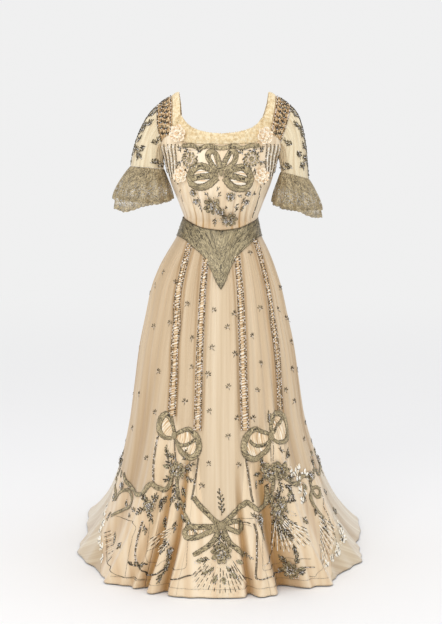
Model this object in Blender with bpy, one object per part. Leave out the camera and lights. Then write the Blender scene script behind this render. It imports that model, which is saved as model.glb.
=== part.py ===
"""Evening dress in its worn form: pouched bodice, elbow sleeves, pointed belt, gored skirt with a train.

Lengths are in metres. Heights in the tables are above the floor. The dress front faces -Y, +X is the
dress's own left side, and the origin is midway between the shoulders.
"""

import math

import bmesh
import bpy
import numpy as np
from mathutils import Vector
from mathutils.bvhtree import BVHTree

SHOULDER_HEIGHT = 1.36
SEAM_GAP = 0.0003
SATIN_WALL = 0.0015
SHEER_WALL = 0.0010
LACE_WALL = 0.0012

# Skirt, ring by ring. Widths and depths are measured from the middle of the waist.
SKIRT_COLUMNS = (
    "height", "right_side", "left_side", "front", "back", "widest_at", "front_square", "back_square",
)
SKIRT_RINGS = (
    (1.045, 0.107, 0.104, 0.092, 0.088, 0.00, 2.0, 2.0),
    (1.019, 0.106, 0.103, 0.092, 0.088, 0.00, 2.0, 2.0),
    (0.985, 0.123, 0.114, 0.0965, 0.106, 0.00, 2.0, 2.0),
    (0.940, 0.149, 0.135, 0.1110, 0.128, 0.00, 2.0, 2.0),
    (0.890, 0.176, 0.154, 0.1265, 0.150, 0.00, 2.0, 2.0),
    (0.830, 0.199, 0.173, 0.1430, 0.170, 0.00, 2.0, 2.0),
    (0.760, 0.214, 0.188, 0.160, 0.192, 0.00, 2.0, 2.0),
    (0.670, 0.233, 0.207, 0.180, 0.222, 0.00, 2.0, 2.0),
    (0.570, 0.248, 0.222, 0.198, 0.265, 0.01, 2.0, 2.0),
    (0.460, 0.265, 0.239, 0.215, 0.325, 0.03, 2.0, 2.1),
    (0.345, 0.288, 0.270, 0.232, 0.425, 0.08, 2.1, 2.2),
    (0.240, 0.318, 0.309, 0.246, 0.560, 0.15, 2.15, 2.3),
    (0.160, 0.350, 0.345, 0.255, 0.710, 0.22, 2.2, 2.4),
    (0.090, 0.390, 0.387, 0.263, 0.880, 0.30, 2.25, 2.5),
    (0.035, 0.425, 0.424, 0.268, 1.080, 0.38, 2.3, 2.6),
    (0.003, 0.447, 0.447, 0.270, 1.250, 0.43, 2.3, 2.6),
)

WAIST_HEIGHT = 1.019
HIP_TOP = 0.985

# Largest folds of the skirt. Bearings run in degrees from the front centre; a minus is the wearer's right.
# Columns: bearing, half width, depth, height where it starts.
FOLDS = (
    (-172, 9, 0.016, 0.95),
    (-154, 9, -0.016, 0.95),
    (-137, 9, 0.016, 0.92),
    (-120, 9, -0.014, 0.88),
    (-103, 9, 0.016, 0.82),
    (-87, 8, -0.014, 0.78),
    (-71, 8, 0.014, 0.75),
    (-56, 7, -0.012, 0.70),
    (-41, 5, 0.026, 0.68),
    (-33, 3, -0.012, 0.50),
    (-27, 3.4, -0.036, 0.50),
    (-22.5, 2.6, 0.008, 0.50),
    (-18.5, 3.0, -0.034, 0.52),
    (-13, 3.0, 0.008, 0.60),
    (8.5, 2.4, -0.034, 0.42),
    (12.5, 2.4, 0.006, 0.45),
    (24, 8.0, -0.075, 0.50),
    (38.5, 5, 0.022, 0.68),
    (50, 6, -0.012, 0.66),
    (64, 8, 0.014, 0.72),
    (80, 8, -0.014, 0.76),
    (96, 9, 0.016, 0.80),
    (113, 9, -0.014, 0.84),
    (130, 9, 0.016, 0.90),
    (147, 9, -0.014, 0.94),
    (164, 9, 0.016, 0.95),
)

# Seams of the skirt, as bearings at the waist, at mid height, above the hem and at the hem.
SEAM_HEIGHTS = (1.045, 0.61, 0.24, 0.003)
SKIRT_SEAMS = {
    "back": (-180.0, -180.0, -180.0, -180.0),
    "right_back": (-98.0, -94.0, -84.0, -50.0),
    "right_outer": (-40.0, -32.0, -30.0, -28.0),
    "right_inner": (-15.5, -14.2, -13.5, -13.0),
    "left_inner": (19.0, 16.2, 15.5, 15.0),
    "left_outer": (52.0, 46.8, 41.0, 39.0),
    "left_back": (98.0, 94.0, 82.0, 41.0),
    "back_again": (180.0, 180.0, 180.0, 180.0),
}
SKIRT_PANELS = (
    ("skirt_back_right", "back", "right_back", 17),
    ("skirt_side_right", "right_back", "right_outer", 12),
    ("skirt_side_front_right", "right_outer", "right_inner", 11),
    ("skirt_front", "right_inner", "left_inner", 15),
    ("skirt_side_front_left", "left_inner", "left_outer", 13),
    ("skirt_side_left", "left_outer", "left_back", 11),
    ("skirt_back_left", "left_back", "back_again", 17),
)

# Beaded ribbon bands along the four front seams: seam, upper and lower end, half width at each.
INSERTION_BANDS = (
    ("insertion_band_outer_right", "right_outer", 0.962, 0.490, 0.0085, 0.0150),
    ("insertion_band_inner_right", "right_inner", 0.922, 0.455, 0.0085, 0.0120),
    ("insertion_band_inner_left", "left_inner", 0.928, 0.455, 0.0085, 0.0120),
    ("insertion_band_outer_left", "left_outer", 0.974, 0.500, 0.0085, 0.0120),
)

# Bodice, ring by ring.
BODICE_COLUMNS = ("height", "side", "front", "back", "square")
BODICE_RINGS = (
    (0.990, 0.1055, 0.0930, 0.088, 2.0),
    (1.019, 0.1055, 0.0930, 0.088, 2.0),
    (1.036, 0.1065, 0.1050, 0.089, 2.0),
    (1.058, 0.1135, 0.1240, 0.091, 2.0),
    (1.090, 0.1260, 0.1400, 0.095, 2.1),
    (1.125, 0.1400, 0.1480, 0.100, 2.2),
    (1.165, 0.1520, 0.1490, 0.105, 2.2),
    (1.200, 0.1600, 0.1420, 0.108, 2.3),
    (1.235, 0.1730, 0.1310, 0.107, 2.4),
    (1.280, 0.1800, 0.1170, 0.100, 2.4),
)
# Upper edge of the bodice and edges of the belt, by bearing from the front centre.
TOP_EDGE = ((0, 1.236), (20, 1.237), (34, 1.245), (46, 1.264), (72, 1.243), (90, 1.200),
            (108, 1.243), (134, 1.262), (150, 1.240), (180, 1.232))
BELT_TOP = ((0, 0.998), (25, 1.003), (60, 1.022), (90, 1.034), (180, 1.034))
BELT_LOWER = ((0, 0.836), (4, 0.856), (9, 0.889), (18, 0.926), (32, 0.950), (52, 0.972),
              (75, 0.980), (180, 0.980))
BODICE_PANELS = (
    ("bodice_back_right", -180, -90, 12),
    ("bodice_side_right", -90, -58, 6),
    ("bodice_front", -58, 58, 40),
    ("bodice_side_left", 58, 90, 6),
    ("bodice_back_left", 90, 180, 12),
)
BODICE_ROWS = 7
PLEATS = 10
PLEAT_DEPTH = 0.0022

# Shoulder straps, from the front seam over the shoulder to the back seam.
# Columns: x, y and height of the inner edge, then of the outer edge.
STRAP_ROWS = (
    (0.140, -0.083, 1.300, 0.180, -0.049, 1.287),
    (0.144, -0.055, 1.342, 0.187, -0.036, 1.325),
    (0.147, -0.018, 1.372, 0.190, -0.012, 1.344),
    (0.147, 0.018, 1.372, 0.190, 0.016, 1.344),
    (0.144, 0.050, 1.344, 0.187, 0.038, 1.326),
    (0.140, 0.072, 1.304, 0.180, 0.052, 1.290),
)
SHOULDER_LEAN = 0.008
STRAP_STEPS = 2
STRAP_ACROSS = 4
STRAP_CROWN = 0.003
CORNER_IN = 46
CORNER_OUT = 72

# Sleeves: side, middle of the cuff ring, its half sizes and its slope outwards.
# Columns: name, side, then x, y, height, half width, half depth and slope of the cuff.
SLEEVES = (
    ("right", -1, 0.2095, -0.004, 1.174, 0.0465, 0.054, 0.004),
    ("left", 1, 0.2095, -0.004, 1.152, 0.0390, 0.050, -0.010),
)
SLEEVE_AROUND = 28
SLEEVE_ROWS = 5
# Lower edge of each flounce, by bearing from the inner side over the front.
FLOUNCE_EDGE = {
    "right": ((0, 0.073, 1.088), (45, 0.080, 1.076), (90, 0.086, 1.066), (125, 0.096, 1.050),
              (150, 0.094, 1.060), (180, 0.088, 1.090), (225, 0.088, 1.080), (270, 0.084, 1.072),
              (315, 0.080, 1.078), (360, 0.073, 1.088)),
    "left": ((0, 0.064, 1.080), (45, 0.074, 1.066), (90, 0.080, 1.052), (125, 0.082, 1.034),
             (150, 0.076, 1.034), (180, 0.068, 1.058), (225, 0.080, 1.052), (270, 0.080, 1.050),
             (315, 0.074, 1.062), (360, 0.064, 1.080)),
}
FLOUNCE_WAVES = 12
FLOUNCE_WAVE_DEPTH = 0.0062
FLOUNCE_ROWS = 3

FRILL_WIDTH_ROWS = 2
FRILL_PLEATS = 14
FRILL_PLEAT_DEPTH = 0.0016

ROSETTES = (
    ("rosette_upper_right", -0.119, 1.266, 0.020),
    ("rosette_upper_left", 0.121, 1.260, 0.020),
    ("rosette_lower_right", -0.112, 1.153, 0.017),
    ("rosette_lower_left", 0.111, 1.150, 0.017),
)

# Lace tape laid on the front: name, half width, then the points of its middle as x and height.
TAPES = (
    ("bodice_bow_upper_right", 0.0065, ((-0.010, 1.172), (-0.026, 1.186), (-0.037, 1.200), (-0.031, 1.214),
                                        (-0.016, 1.212), (-0.009, 1.198))),
    ("bodice_bow_upper_left", 0.0065, ((0.002, 1.176), (0.009, 1.196), (0.019, 1.213), (0.034, 1.216),
                                       (0.040, 1.202), (0.029, 1.187))),
    ("bodice_bow_lower_right", 0.0080, ((-0.034, 1.168), (-0.058, 1.175), (-0.080, 1.163), (-0.087, 1.142),
                                        (-0.074, 1.122), (-0.048, 1.120), (-0.020, 1.140))),
    ("bodice_bow_lower_left", 0.0080, ((0.034, 1.168), (0.056, 1.173), (0.076, 1.161), (0.083, 1.140),
                                       (0.068, 1.118), (0.044, 1.117), (0.020, 1.139))),
    ("skirt_bow_right_upper", 0.0075, ((-0.132, 0.460), (-0.138, 0.480), (-0.156, 0.491), (-0.171, 0.468),
                                       (-0.166, 0.442), (-0.147, 0.425))),
    ("skirt_bow_right_lower", 0.0075, ((-0.112, 0.450), (-0.086, 0.456), (-0.066, 0.439), (-0.061, 0.410),
                                       (-0.080, 0.384), (-0.104, 0.392), (-0.119, 0.413))),
    ("skirt_bow_left_lower", 0.0080, ((0.124, 0.446), (0.098, 0.456), (0.072, 0.440), (0.062, 0.410),
                                      (0.080, 0.380), (0.106, 0.380), (0.126, 0.402))),
    ("skirt_bow_left_upper", 0.0075, ((0.140, 0.455), (0.142, 0.477), (0.158, 0.492), (0.177, 0.478),
                                      (0.186, 0.446), (0.177, 0.417), (0.153, 0.416))),
    ("hem_bow_right", 0.0065, ((-0.020, 0.205), (-0.050, 0.198), (-0.081, 0.196), (-0.097, 0.179),
                               (-0.080, 0.165), (-0.046, 0.171), (-0.020, 0.181))),
    ("hem_bow_left", 0.0060, ((0.018, 0.208), (0.036, 0.212), (0.053, 0.204), (0.052, 0.186), (0.022, 0.187))),
    ("hem_tail_right", 0.0070, ((-0.011, 0.168), (-0.026, 0.150), (-0.046, 0.134), (-0.071, 0.121))),
    ("hem_tail_left", 0.0070, ((0.013, 0.168), (0.021, 0.153), (0.034, 0.140), (0.050, 0.127))),
    ("garland_right", 0.0075, ((-0.274, 0.292), (-0.259, 0.268), (-0.236, 0.256), (-0.209, 0.282),
                               (-0.191, 0.296), (-0.163, 0.284), (-0.143, 0.297), (-0.133, 0.318))),
    ("garland_middle_right", 0.0070, ((-0.072, 0.270), (-0.056, 0.252), (-0.040, 0.237), (-0.027, 0.227))),
    ("garland_middle_left", 0.0070, ((0.028, 0.236), (0.042, 0.247), (0.060, 0.259), (0.074, 0.266))),
    ("garland_left", 0.0075, ((0.178, 0.318), (0.196, 0.296), (0.214, 0.286), (0.232, 0.303), (0.252, 0.296))),
)
# Knots of the bows: name, x, height, half width and half height.
KNOTS = (
    ("bodice_bow_knot", -0.001, 1.156, 0.011, 0.009),
    ("skirt_bow_right_knot", -0.127, 0.436, 0.010, 0.011),
    ("skirt_bow_left_knot", 0.139, 0.430, 0.010, 0.011),
    ("hem_bow_knot", 0.001, 0.199, 0.012, 0.010),
)
TAPE_STEPS = 9
TAPE_ACROSS = 2
TAPE_SETTLING = 3
TAPE_PROBES = 8
TAPE_LIFT = 0.0009
TRIM_GAP = 0.0006

COLOURS = {
    "silk": ((0.79, 0.66, 0.47), 0.55, 0.0),
    "train": ((0.84, 0.78, 0.64), 0.42, 0.0),
    "net": ((0.76, 0.66, 0.50), 0.70, 0.0),
    "lace": ((0.27, 0.22, 0.13), 0.50, 0.25),
    "ribbon": ((0.62, 0.50, 0.33), 0.35, 0.15),
    "strap": ((0.36, 0.22, 0.09), 0.45, 0.20),
    "frill": ((0.87, 0.74, 0.42), 0.85, 0.0),
    "flower": ((0.93, 0.78, 0.58), 0.75, 0.0),
}


# Scene and materials

for old in list(bpy.data.objects):
    bpy.data.objects.remove(old, do_unlink=True)
dress = bpy.data.collections.new("evening_dress")
bpy.context.scene.collection.children.link(dress)


def material(name):
    """The plain material of that name, made when it is first asked for."""
    found = bpy.data.materials.get(name)
    if found:
        return found
    colour, roughness, metallic = COLOURS[name]
    found = bpy.data.materials.new(name)
    found.use_nodes = True
    shader = found.node_tree.nodes["Principled BSDF"]
    shader.inputs["Base Color"].default_value = (*colour, 1.0)
    shader.inputs["Roughness"].default_value = roughness
    shader.inputs["Metallic"].default_value = metallic
    return found


# Small helpers for tables and curves

def column(rows, names, wanted):
    """One named column of a table."""
    return np.array([row[names.index(wanted)] for row in rows], float)


def by_height(rows, names, wanted, height):
    """A table's column at these heights, straight between its rows."""
    heights = column(rows, names, "height")
    order = np.argsort(heights)
    return np.interp(height, heights[order], column(rows, names, wanted)[order])


def soft(pairs, value):
    """A smooth curve through pairs, flat where the pairs turn."""
    knots = np.array([pair[0] for pair in pairs], float)
    values = np.array([pair[1] for pair in pairs], float)
    steps = np.diff(knots)
    slopes = np.diff(values) / steps
    tangents = np.zeros(len(knots))
    for i in range(1, len(knots) - 1):
        if slopes[i - 1] * slopes[i] > 0:
            tangents[i] = 2 / (1 / slopes[i - 1] + 1 / slopes[i])
    value = np.clip(value, knots[0], knots[-1])
    place = np.clip(np.searchsorted(knots, value, side="right") - 1, 0, len(steps) - 1)
    step = steps[place]
    t = (value - knots[place]) / step
    start = (1 + 2 * t) * (1 - t) ** 2 * values[place] + t * (1 - t) ** 2 * step * tangents[place]
    end = t * t * (3 - 2 * t) * values[place + 1] + t * t * (t - 1) * step * tangents[place + 1]
    return start + end


def ease(value, low, high):
    """0 below low, 1 above high, smooth between."""
    t = np.clip((value - low) / (high - low), 0, 1)
    return t * t * (3 - 2 * t)


def ring(bearing, right, left, front, back, widest, front_square, back_square):
    """A point of a rounded ring, with the horizontal way out there."""
    s, c = np.sin(bearing), np.cos(bearing)
    square = np.where(c > 0, front_square, back_square)
    side = np.where(s < 0, right, left)
    depth = np.where(c > 0, front + widest, back - widest)
    x = side * np.sign(s) * np.abs(s) ** (2 / square)
    y = widest - depth * np.sign(c) * np.abs(c) ** (2 / square)
    out = np.stack([s * depth, -c * side], -1)
    out /= np.linalg.norm(out, axis=-1, keepdims=True)
    return x, y, out


def waves(position, count):
    return np.cos(2 * math.pi * count * position)


# Walls of cloth

def outward(surface, u, v, row):
    """Unit normals of a surface, from its own neighbours: a little way beside, half a row up and down."""
    step = 2e-3
    along = surface(u + step, v) - surface(u - step, v)
    up = surface(u, v + row / 2) - surface(u, v - row / 2)
    normal = np.cross(along, up)
    return normal / np.linalg.norm(normal, axis=-1, keepdims=True)


def cloth(name, surface, columns, rows, wall, finish, closed=False, turned=False, lift=0.0):
    """A wall of cloth with its outer side on the surface, or with its inner side lifted off it.

    The surface takes u and v from 0 to 1.
    """
    mesh = bmesh.new()
    bmesh.ops.create_grid(mesh, x_segments=columns, y_segments=rows, size=0.5)
    outer = list(mesh.verts)
    copied = bmesh.ops.extrude_face_region(mesh, geom=list(mesh.faces), use_keep_orig=True)
    inner = [item for item in copied["geom"] if isinstance(item, bmesh.types.BMVert)]
    if closed:
        ends = [face for face in mesh.faces if len({round(v.co.x, 4) for v in face.verts}) == 1]
        bmesh.ops.delete(mesh, geom=ends, context="FACES")
    for layer, verts in enumerate((outer, inner)):
        flat = np.array([v.co[:2] for v in verts]) + 0.5
        u, v = flat[:, 0], flat[:, 1]
        if closed:
            u = np.where(u > 1 - 1e-6, 0, u)
        points = surface(u, v)
        normals = outward(surface, u, v, 1 / rows) * (-1 if turned else 1)
        above = lift + wall if lift else 0.0
        points = points + (above - layer * wall) * normals
        points[:, 2] -= SHOULDER_HEIGHT
        for vert, point in zip(verts, points):
            vert.co = point
    if closed:
        bmesh.ops.remove_doubles(mesh, verts=list(mesh.verts), dist=1e-6)
    return finished(name, mesh, finish)


def finished(name, mesh, finish):
    bmesh.ops.recalc_face_normals(mesh, faces=list(mesh.faces))
    if mesh.calc_volume(signed=True) < 0:
        bmesh.ops.reverse_faces(mesh, faces=list(mesh.faces))
    data = bpy.data.meshes.new(name)
    mesh.to_mesh(data)
    mesh.free()
    data.materials.append(material(finish))
    made = bpy.data.objects.new(name, data)
    dress.objects.link(made)
    return made


# Skirt

def belt_edge(pairs, bearing):
    """A height given by bearing, the same on both sides of the front centre."""
    turn = np.abs((np.asarray(bearing, float) + 180) % 360 - 180)
    return soft(pairs, turn)


def skirt_point(bearing, height):
    """The outer face of the skirt at a bearing in degrees and a height."""
    names = SKIRT_COLUMNS[1:]
    share = (height - HIP_TOP) / (belt_edge(BELT_TOP, bearing) - HIP_TOP)
    level = np.where(share > 0, HIP_TOP + share * (WAIST_HEIGHT - HIP_TOP), height)
    shape = [by_height(SKIRT_RINGS, SKIRT_COLUMNS, name, level) for name in names]
    x, y, out = ring(np.radians(bearing), *shape)
    lying = ease(np.abs(bearing), 98, 130) * ease(-height, -0.26, -0.05)
    push = np.zeros_like(x)
    for turn, half_width, depth, starts_at in FOLDS:
        away = np.abs((bearing - turn + 180) % 360 - 180) / half_width
        hump = np.where(away < 1, 0.5 + 0.5 * np.cos(math.pi * np.clip(away, 0, 1)), 0)
        push = push + depth * hump * np.clip((starts_at - height) / starts_at, 0, 1) ** 1.3
    x = x + out[..., 0] * push * (1 - lying)
    y = y + out[..., 1] * push * (1 - lying)
    return np.stack([x, y, height + lying * np.clip(push, 0, None)], -1)


def seam(name, height):
    return np.interp(height, SEAM_HEIGHTS[::-1], SKIRT_SEAMS[name][::-1])


def skirt_rows(bearing, v):
    """Heights of the skirt's rows: the table's rows, the first one under the belt's upper edge."""
    heights = column(SKIRT_RINGS, SKIRT_COLUMNS, "height")[2:]
    top = belt_edge(BELT_TOP, bearing) - 0.002
    place = np.clip(v, 0, 1) * len(heights)
    level = np.interp(place, np.arange(1, len(heights) + 1), heights)
    return np.where(place < 1, top + (heights[0] - top) * place, level)


def panel_surface(first, last, columns):
    def surface(u, v):
        middle_height = skirt_rows(np.zeros_like(u), v)
        start, end = seam(first, middle_height), seam(last, middle_height)
        bearing = start + (end - start) * u
        height = skirt_rows(bearing, v)
        points = skirt_point(bearing, height)
        beside = skirt_point(bearing + 0.05, height) - skirt_point(bearing - 0.05, height)
        beside /= np.linalg.norm(beside, axis=-1, keepdims=True)
        inset = SEAM_GAP / 2 * (np.where(u < 0.5 / columns, 1, 0) - np.where(u > 1 - 0.5 / columns, 1, 0))
        return points + beside * inset[..., None]
    return surface


SKIRT_ROWS = len(SKIRT_RINGS) - 2
for name, first, last, columns in SKIRT_PANELS:
    finish = "train" if "back" in name else "silk"
    cloth(name, panel_surface(first, last, columns), columns, SKIRT_ROWS, SATIN_WALL, finish, turned=True)


# Insertion bands, laid over the seams

def band_heights(top, bottom):
    """Rows of a band: its ends and the skirt's own rows between them."""
    rows = column(SKIRT_RINGS, SKIRT_COLUMNS, "height")
    between = rows[(rows > bottom + 0.015) & (rows < top - 0.015)]
    return np.concatenate([[top], between, [bottom]])[::-1]


def band_surface(seam_name, heights, half_top, half_bottom):
    top, bottom = heights[-1], heights[0]
    def surface(u, v):
        height = np.interp(np.clip(v, 0, 1) * (len(heights) - 1), np.arange(len(heights)), heights)
        share = (height - bottom) / (top - bottom)
        bearing = seam(seam_name, height)
        here = skirt_point(bearing, height)
        per_degree = np.linalg.norm(skirt_point(bearing + 0.5, height) - here, axis=-1) / 0.5
        bearing = bearing + (2 * u - 1) * (half_bottom + (half_top - half_bottom) * share) / per_degree
        under_belt = np.clip(height - (belt_edge(BELT_LOWER, bearing) - 0.0015), 0, None)
        return skirt_point(bearing, height - under_belt)
    return surface


for name, seam_name, top, bottom, half_top, half_bottom in INSERTION_BANDS:
    heights = band_heights(top, bottom)
    lying_on = band_surface(seam_name, heights, half_top, half_bottom)
    cloth(name, lying_on, 4, len(heights) - 1, LACE_WALL, "ribbon", lift=0.0007)


# Belt, over the top of the skirt

def belt_surface(start, end):
    def surface(u, v):
        bearing = start + (end - start) * u
        low = belt_edge(BELT_LOWER, bearing)
        height = low + (belt_edge(BELT_TOP, bearing) - low) * v
        return skirt_point(bearing, height)
    return surface


BELT_PARTS = (("belt_front", -89.9, 89.9, 30), ("belt_back", 90.1, 269.9, 20))
for name, start, end, columns in BELT_PARTS:
    cloth(name, belt_surface(start, end), columns, 6, LACE_WALL, "lace", lift=0.0007)


# Bodice

def bodice_point(bearing, height, pleated=False):
    """The outer face of the bodice at a bearing in degrees and a height."""
    side, front, back, square = (
        by_height(BODICE_RINGS, BODICE_COLUMNS, name, height) for name in BODICE_COLUMNS[1:]
    )
    x, y, out = ring(np.radians(bearing), side, side, front, back, 0.0, square, square)
    if pleated:
        over_belt = height - belt_edge(BELT_TOP, bearing)
        fade = ease(over_belt, 0.0, 0.03) * ease(-height, -1.20, -1.10) * ease(-np.abs(bearing), -56, -44)
        push = PLEAT_DEPTH * waves(bearing / 116, PLEATS) * fade
        x, y = x + out[..., 0] * push, y + out[..., 1] * push
    return np.stack([x, y, height + 0 * x], -1)


def bodice_surface(start, end, columns, pleated):
    heights = column(BODICE_RINGS, BODICE_COLUMNS, "height")
    def surface(u, v):
        bearing = start + (end - start) * u
        bottom = belt_edge(BELT_TOP, bearing) + 0.0009
        top = belt_edge(TOP_EDGE, bearing)
        height = bottom + (top - bottom) * v
        inset = SEAM_GAP / 2 * (np.where(u < 0.5 / columns, 1, 0) - np.where(u > 1 - 0.5 / columns, 1, 0))
        points = bodice_point(bearing, height, pleated)
        beside = bodice_point(bearing + 0.05, height, pleated) - bodice_point(bearing - 0.05, height, pleated)
        beside /= np.linalg.norm(beside, axis=-1, keepdims=True)
        return points + beside * inset[..., None]
    return surface


for name, start, end, columns in BODICE_PANELS:
    shape = bodice_surface(start, end, columns, name == "bodice_front")
    cloth(name, shape, columns, BODICE_ROWS, SATIN_WALL, "silk")


# Shoulder straps

def strap_edges(side):
    """Inner and outer edges of one strap, from the front corner over the shoulder to the back corner."""
    inner, outer = [], []
    for bearing in (CORNER_IN, CORNER_OUT):
        height = belt_edge(TOP_EDGE, bearing)
        (inner if bearing == CORNER_IN else outer).append(bodice_point(bearing, height))
    for row in STRAP_ROWS:
        inner.append(np.array(row[:3]))
        outer.append(np.array(row[3:]))
    for bearing in (134, 108):
        height = belt_edge(TOP_EDGE, bearing)
        (inner if bearing == 134 else outer).append(bodice_point(bearing, height))
    edges = []
    for edge in (inner, outer):
        edge = np.array(edge)
        edge[:, 0] = side * edge[:, 0] + SHOULDER_LEAN * ease(edge[:, 2], 1.26, 1.35)
        edges.append(edge)
    return edges


def along(points, place):
    """A soft curve through points, place running from 0 to 1."""
    place = np.clip(place, 0, 1) * (len(points) - 1)
    axes = []
    for axis in range(3):
        values = points[:, axis]
        first = np.clip(np.floor(place).astype(int), 0, len(points) - 2)
        t = place - first
        before = values[np.clip(first - 1, 0, None)]
        after = values[np.clip(first + 2, None, len(points) - 1)]
        here, there = values[first], values[first + 1]
        leave, arrive = (there - before) / 2, (after - here) / 2
        axes.append(
            (1 + 2 * t) * (1 - t) ** 2 * here + t * (1 - t) ** 2 * leave
            + t * t * (3 - 2 * t) * there + t * t * (t - 1) * arrive
        )
    return np.stack(axes, -1)


def strap_surface(side):
    inner, outer = strap_edges(side)
    middle = np.array([side * 0.150, 0.0, 1.25])
    def plain(u, v):
        near, far = along(inner, v), along(outer, v)
        across = near + (far - near) * u[..., None]
        away = across - middle
        away /= np.linalg.norm(away, axis=-1, keepdims=True)
        return across + away * (STRAP_CROWN * 4 * u * (1 - u))[..., None]
    def surface(u, v):
        v = np.clip(v, 0, 1)
        points = plain(u, v)
        for end, near_turn, far_turn in ((0, CORNER_IN, CORNER_OUT), (1, 134, 108)):
            bearing = near_turn + (far_turn - near_turn) * u
            edge = bodice_point(side * bearing, belt_edge(TOP_EDGE, bearing))
            edge = edge + np.array([0.0, 0.0, 0.0012])
            reach = 1 - ease(np.abs(v - end), 0, 0.3)
            points = points + reach[..., None] * (edge - plain(u, np.full_like(v, end)))
        return points
    return surface


STRAP_LENGTH_ROWS = STRAP_STEPS * (len(STRAP_ROWS) + 1)
for name, side in (("shoulder_strap_right", -1), ("shoulder_strap_left", 1)):
    cloth(name, strap_surface(side), STRAP_ACROSS, STRAP_LENGTH_ROWS, SATIN_WALL, "strap", turned=side < 0)


# Sleeves and flounces

def armhole(side):
    """The sleeve's seam as a closed line from the underarm over the front, the shoulder and the back."""
    low = []
    for bearing in np.linspace(90, CORNER_OUT, 7)[:-1]:
        low.append(bodice_point(side * bearing, belt_edge(TOP_EDGE, bearing)))
    over = along(strap_edges(side)[1], np.linspace(0, 1, STRAP_LENGTH_ROWS + 1))
    rear = []
    for bearing in np.linspace(108, 90, 7)[1:]:
        rear.append(bodice_point(side * bearing, belt_edge(TOP_EDGE, bearing)))
    return np.concatenate([np.array(low), over, np.array(rear)])


def at_length(line, place):
    """Points of a line at these shares of its length."""
    steps = np.linalg.norm(np.diff(line, axis=0), axis=1)
    reached = np.concatenate([[0], np.cumsum(steps)]) / steps.sum()
    return np.stack([np.interp(place % 1.0, reached, line[:, axis]) for axis in range(3)], -1)


def cuff(row, place, drop=0.0):
    """The ring at the sleeve's end, from its inner side over the front."""
    _, side, x, y, height, half_x, half_y, slope = row
    turn = 2 * math.pi * place
    inward = np.cos(turn)
    return np.stack([
        side * (x - half_x * inward),
        y - half_y * np.sin(turn),
        height - slope * inward - drop + 0 * turn,
    ], -1)


def sleeve_surface(row):
    side = row[1]
    seam_line = armhole(side)
    way_out = np.array([side * 0.80, 0.0, -0.60])
    up = np.array([-side * 0.10, 0.0, 0.99])
    def surface(u, v):
        start = at_length(seam_line, u) + 0.0009 * way_out
        end = cuff(row, u)
        reach = np.linalg.norm(end - start, axis=-1, keepdims=True)
        first = start + way_out * reach * 0.24
        second = end + up * reach * 0.33
        v = v[..., None]
        w = 1 - v
        return w ** 3 * start + 3 * w * w * v * first + 3 * w * v * v * second + v ** 3 * end
    return surface


def flounce_surface(row):
    name, side = row[0], row[1]
    edge = FLOUNCE_EDGE[name]
    reach = [(turn, out) for turn, out, _ in edge]
    level = [(turn, height) for turn, _, height in edge]
    def surface(u, v):
        u, v = u % 1.0, np.clip(v, 0, 1)
        turn = 360 * u
        top = cuff(row, u, SEAM_GAP + 0.0002)
        middle = np.array([side * (row[2] + 0.006), row[3], 0.0])
        wide = soft(reach, turn)
        angle = np.radians(turn)
        low = np.stack([
            middle[0] - side * wide * np.cos(angle),
            middle[1] - wide * np.sin(angle),
            soft(level, turn),
        ], -1)
        flare = (1 - (1 - v) ** 1.6)[..., None]
        points = top + (low - top) * np.stack([flare[..., 0], flare[..., 0], v], -1)
        radial = np.stack([-side * np.cos(angle), -np.sin(angle), 0 * angle], -1)
        wave = FLOUNCE_WAVE_DEPTH * (0.18 + 0.82 * v) * v ** 0.35 * waves(u, FLOUNCE_WAVES)
        wave = wave + 0.0025 * v * np.cos(2 * math.pi * 6 * u + 1.0)
        return points + radial * wave[..., None]
    return surface


for row in SLEEVES:
    label = row[0]
    left = row[1] > 0
    cloth("sleeve_" + label, sleeve_surface(row), SLEEVE_AROUND, SLEEVE_ROWS, SHEER_WALL, "net",
          closed=True, turned=left)
    cloth("flounce_" + label, flounce_surface(row), 4 * FLOUNCE_WAVES, FLOUNCE_ROWS, SHEER_WALL, "lace",
          closed=True, turned=left)


# Neck frill

def frill_surface(front):
    """The frill of one half, from strap top to strap top, standing on the neck edge."""
    first, last = (-CORNER_IN, CORNER_IN) if front else (134, 226)
    edge = []
    for bearing in np.linspace(first, last, 19):
        turn = bearing if bearing <= 180 else bearing - 360
        edge.append(bodice_point(turn, belt_edge(TOP_EDGE, turn)))
    straps = {side: along(strap_edges(side)[0], np.linspace(0, 1, STRAP_LENGTH_ROWS + 1)) for side in (-1, 1)}
    half = STRAP_LENGTH_ROWS // 2
    if front:
        rising, falling = straps[-1][1:half + 1][::-1], straps[1][1:half + 1]
    else:
        rising, falling = straps[1][half:-1], straps[-1][half:-1][::-1]
    line = np.concatenate([rising, np.array(edge), falling])
    def surface(u, v):
        v = np.clip(v, 0, 1)
        place = 0.0008 + np.clip(u, 0, 1) * 0.9984
        foot = at_length(line, place)
        share = np.abs(foot[..., 0]) / 0.135
        corner = ease(share, 0.45, 1.0)
        high = ease(foot[..., 2], 1.27, 1.36)
        inward = -np.sign(foot[..., 0]) * (0.026 * corner - 0.004 * high)
        clear = -np.sign(foot[..., 0]) * 0.0012 * ease(share, 0.9, 1.0)
        rise = 0.029 - 0.012 * corner - 0.008 * high
        lean = np.where(foot[..., 1] < 0, 1, -1) * 0.004 * (1 - high)
        puff = 0.0035 * np.sin(math.pi * np.clip(v, 0, 1)) * np.where(foot[..., 1] < 0, -1, 1) * (1 - high)
        puff_up = 0.0030 * np.sin(math.pi * np.clip(v, 0, 1)) * high
        pleat = FRILL_PLEAT_DEPTH * (0.35 + 0.65 * v) * waves(u, FRILL_PLEATS)
        facing = np.where(foot[..., 1] < 0, -1, 1) * (1 - high)
        return foot + np.stack([
            inward * v + clear,
            lean * v + puff + facing * pleat,
            0.0011 + rise * v + puff_up + high * pleat,
        ], -1)
    return surface


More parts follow.
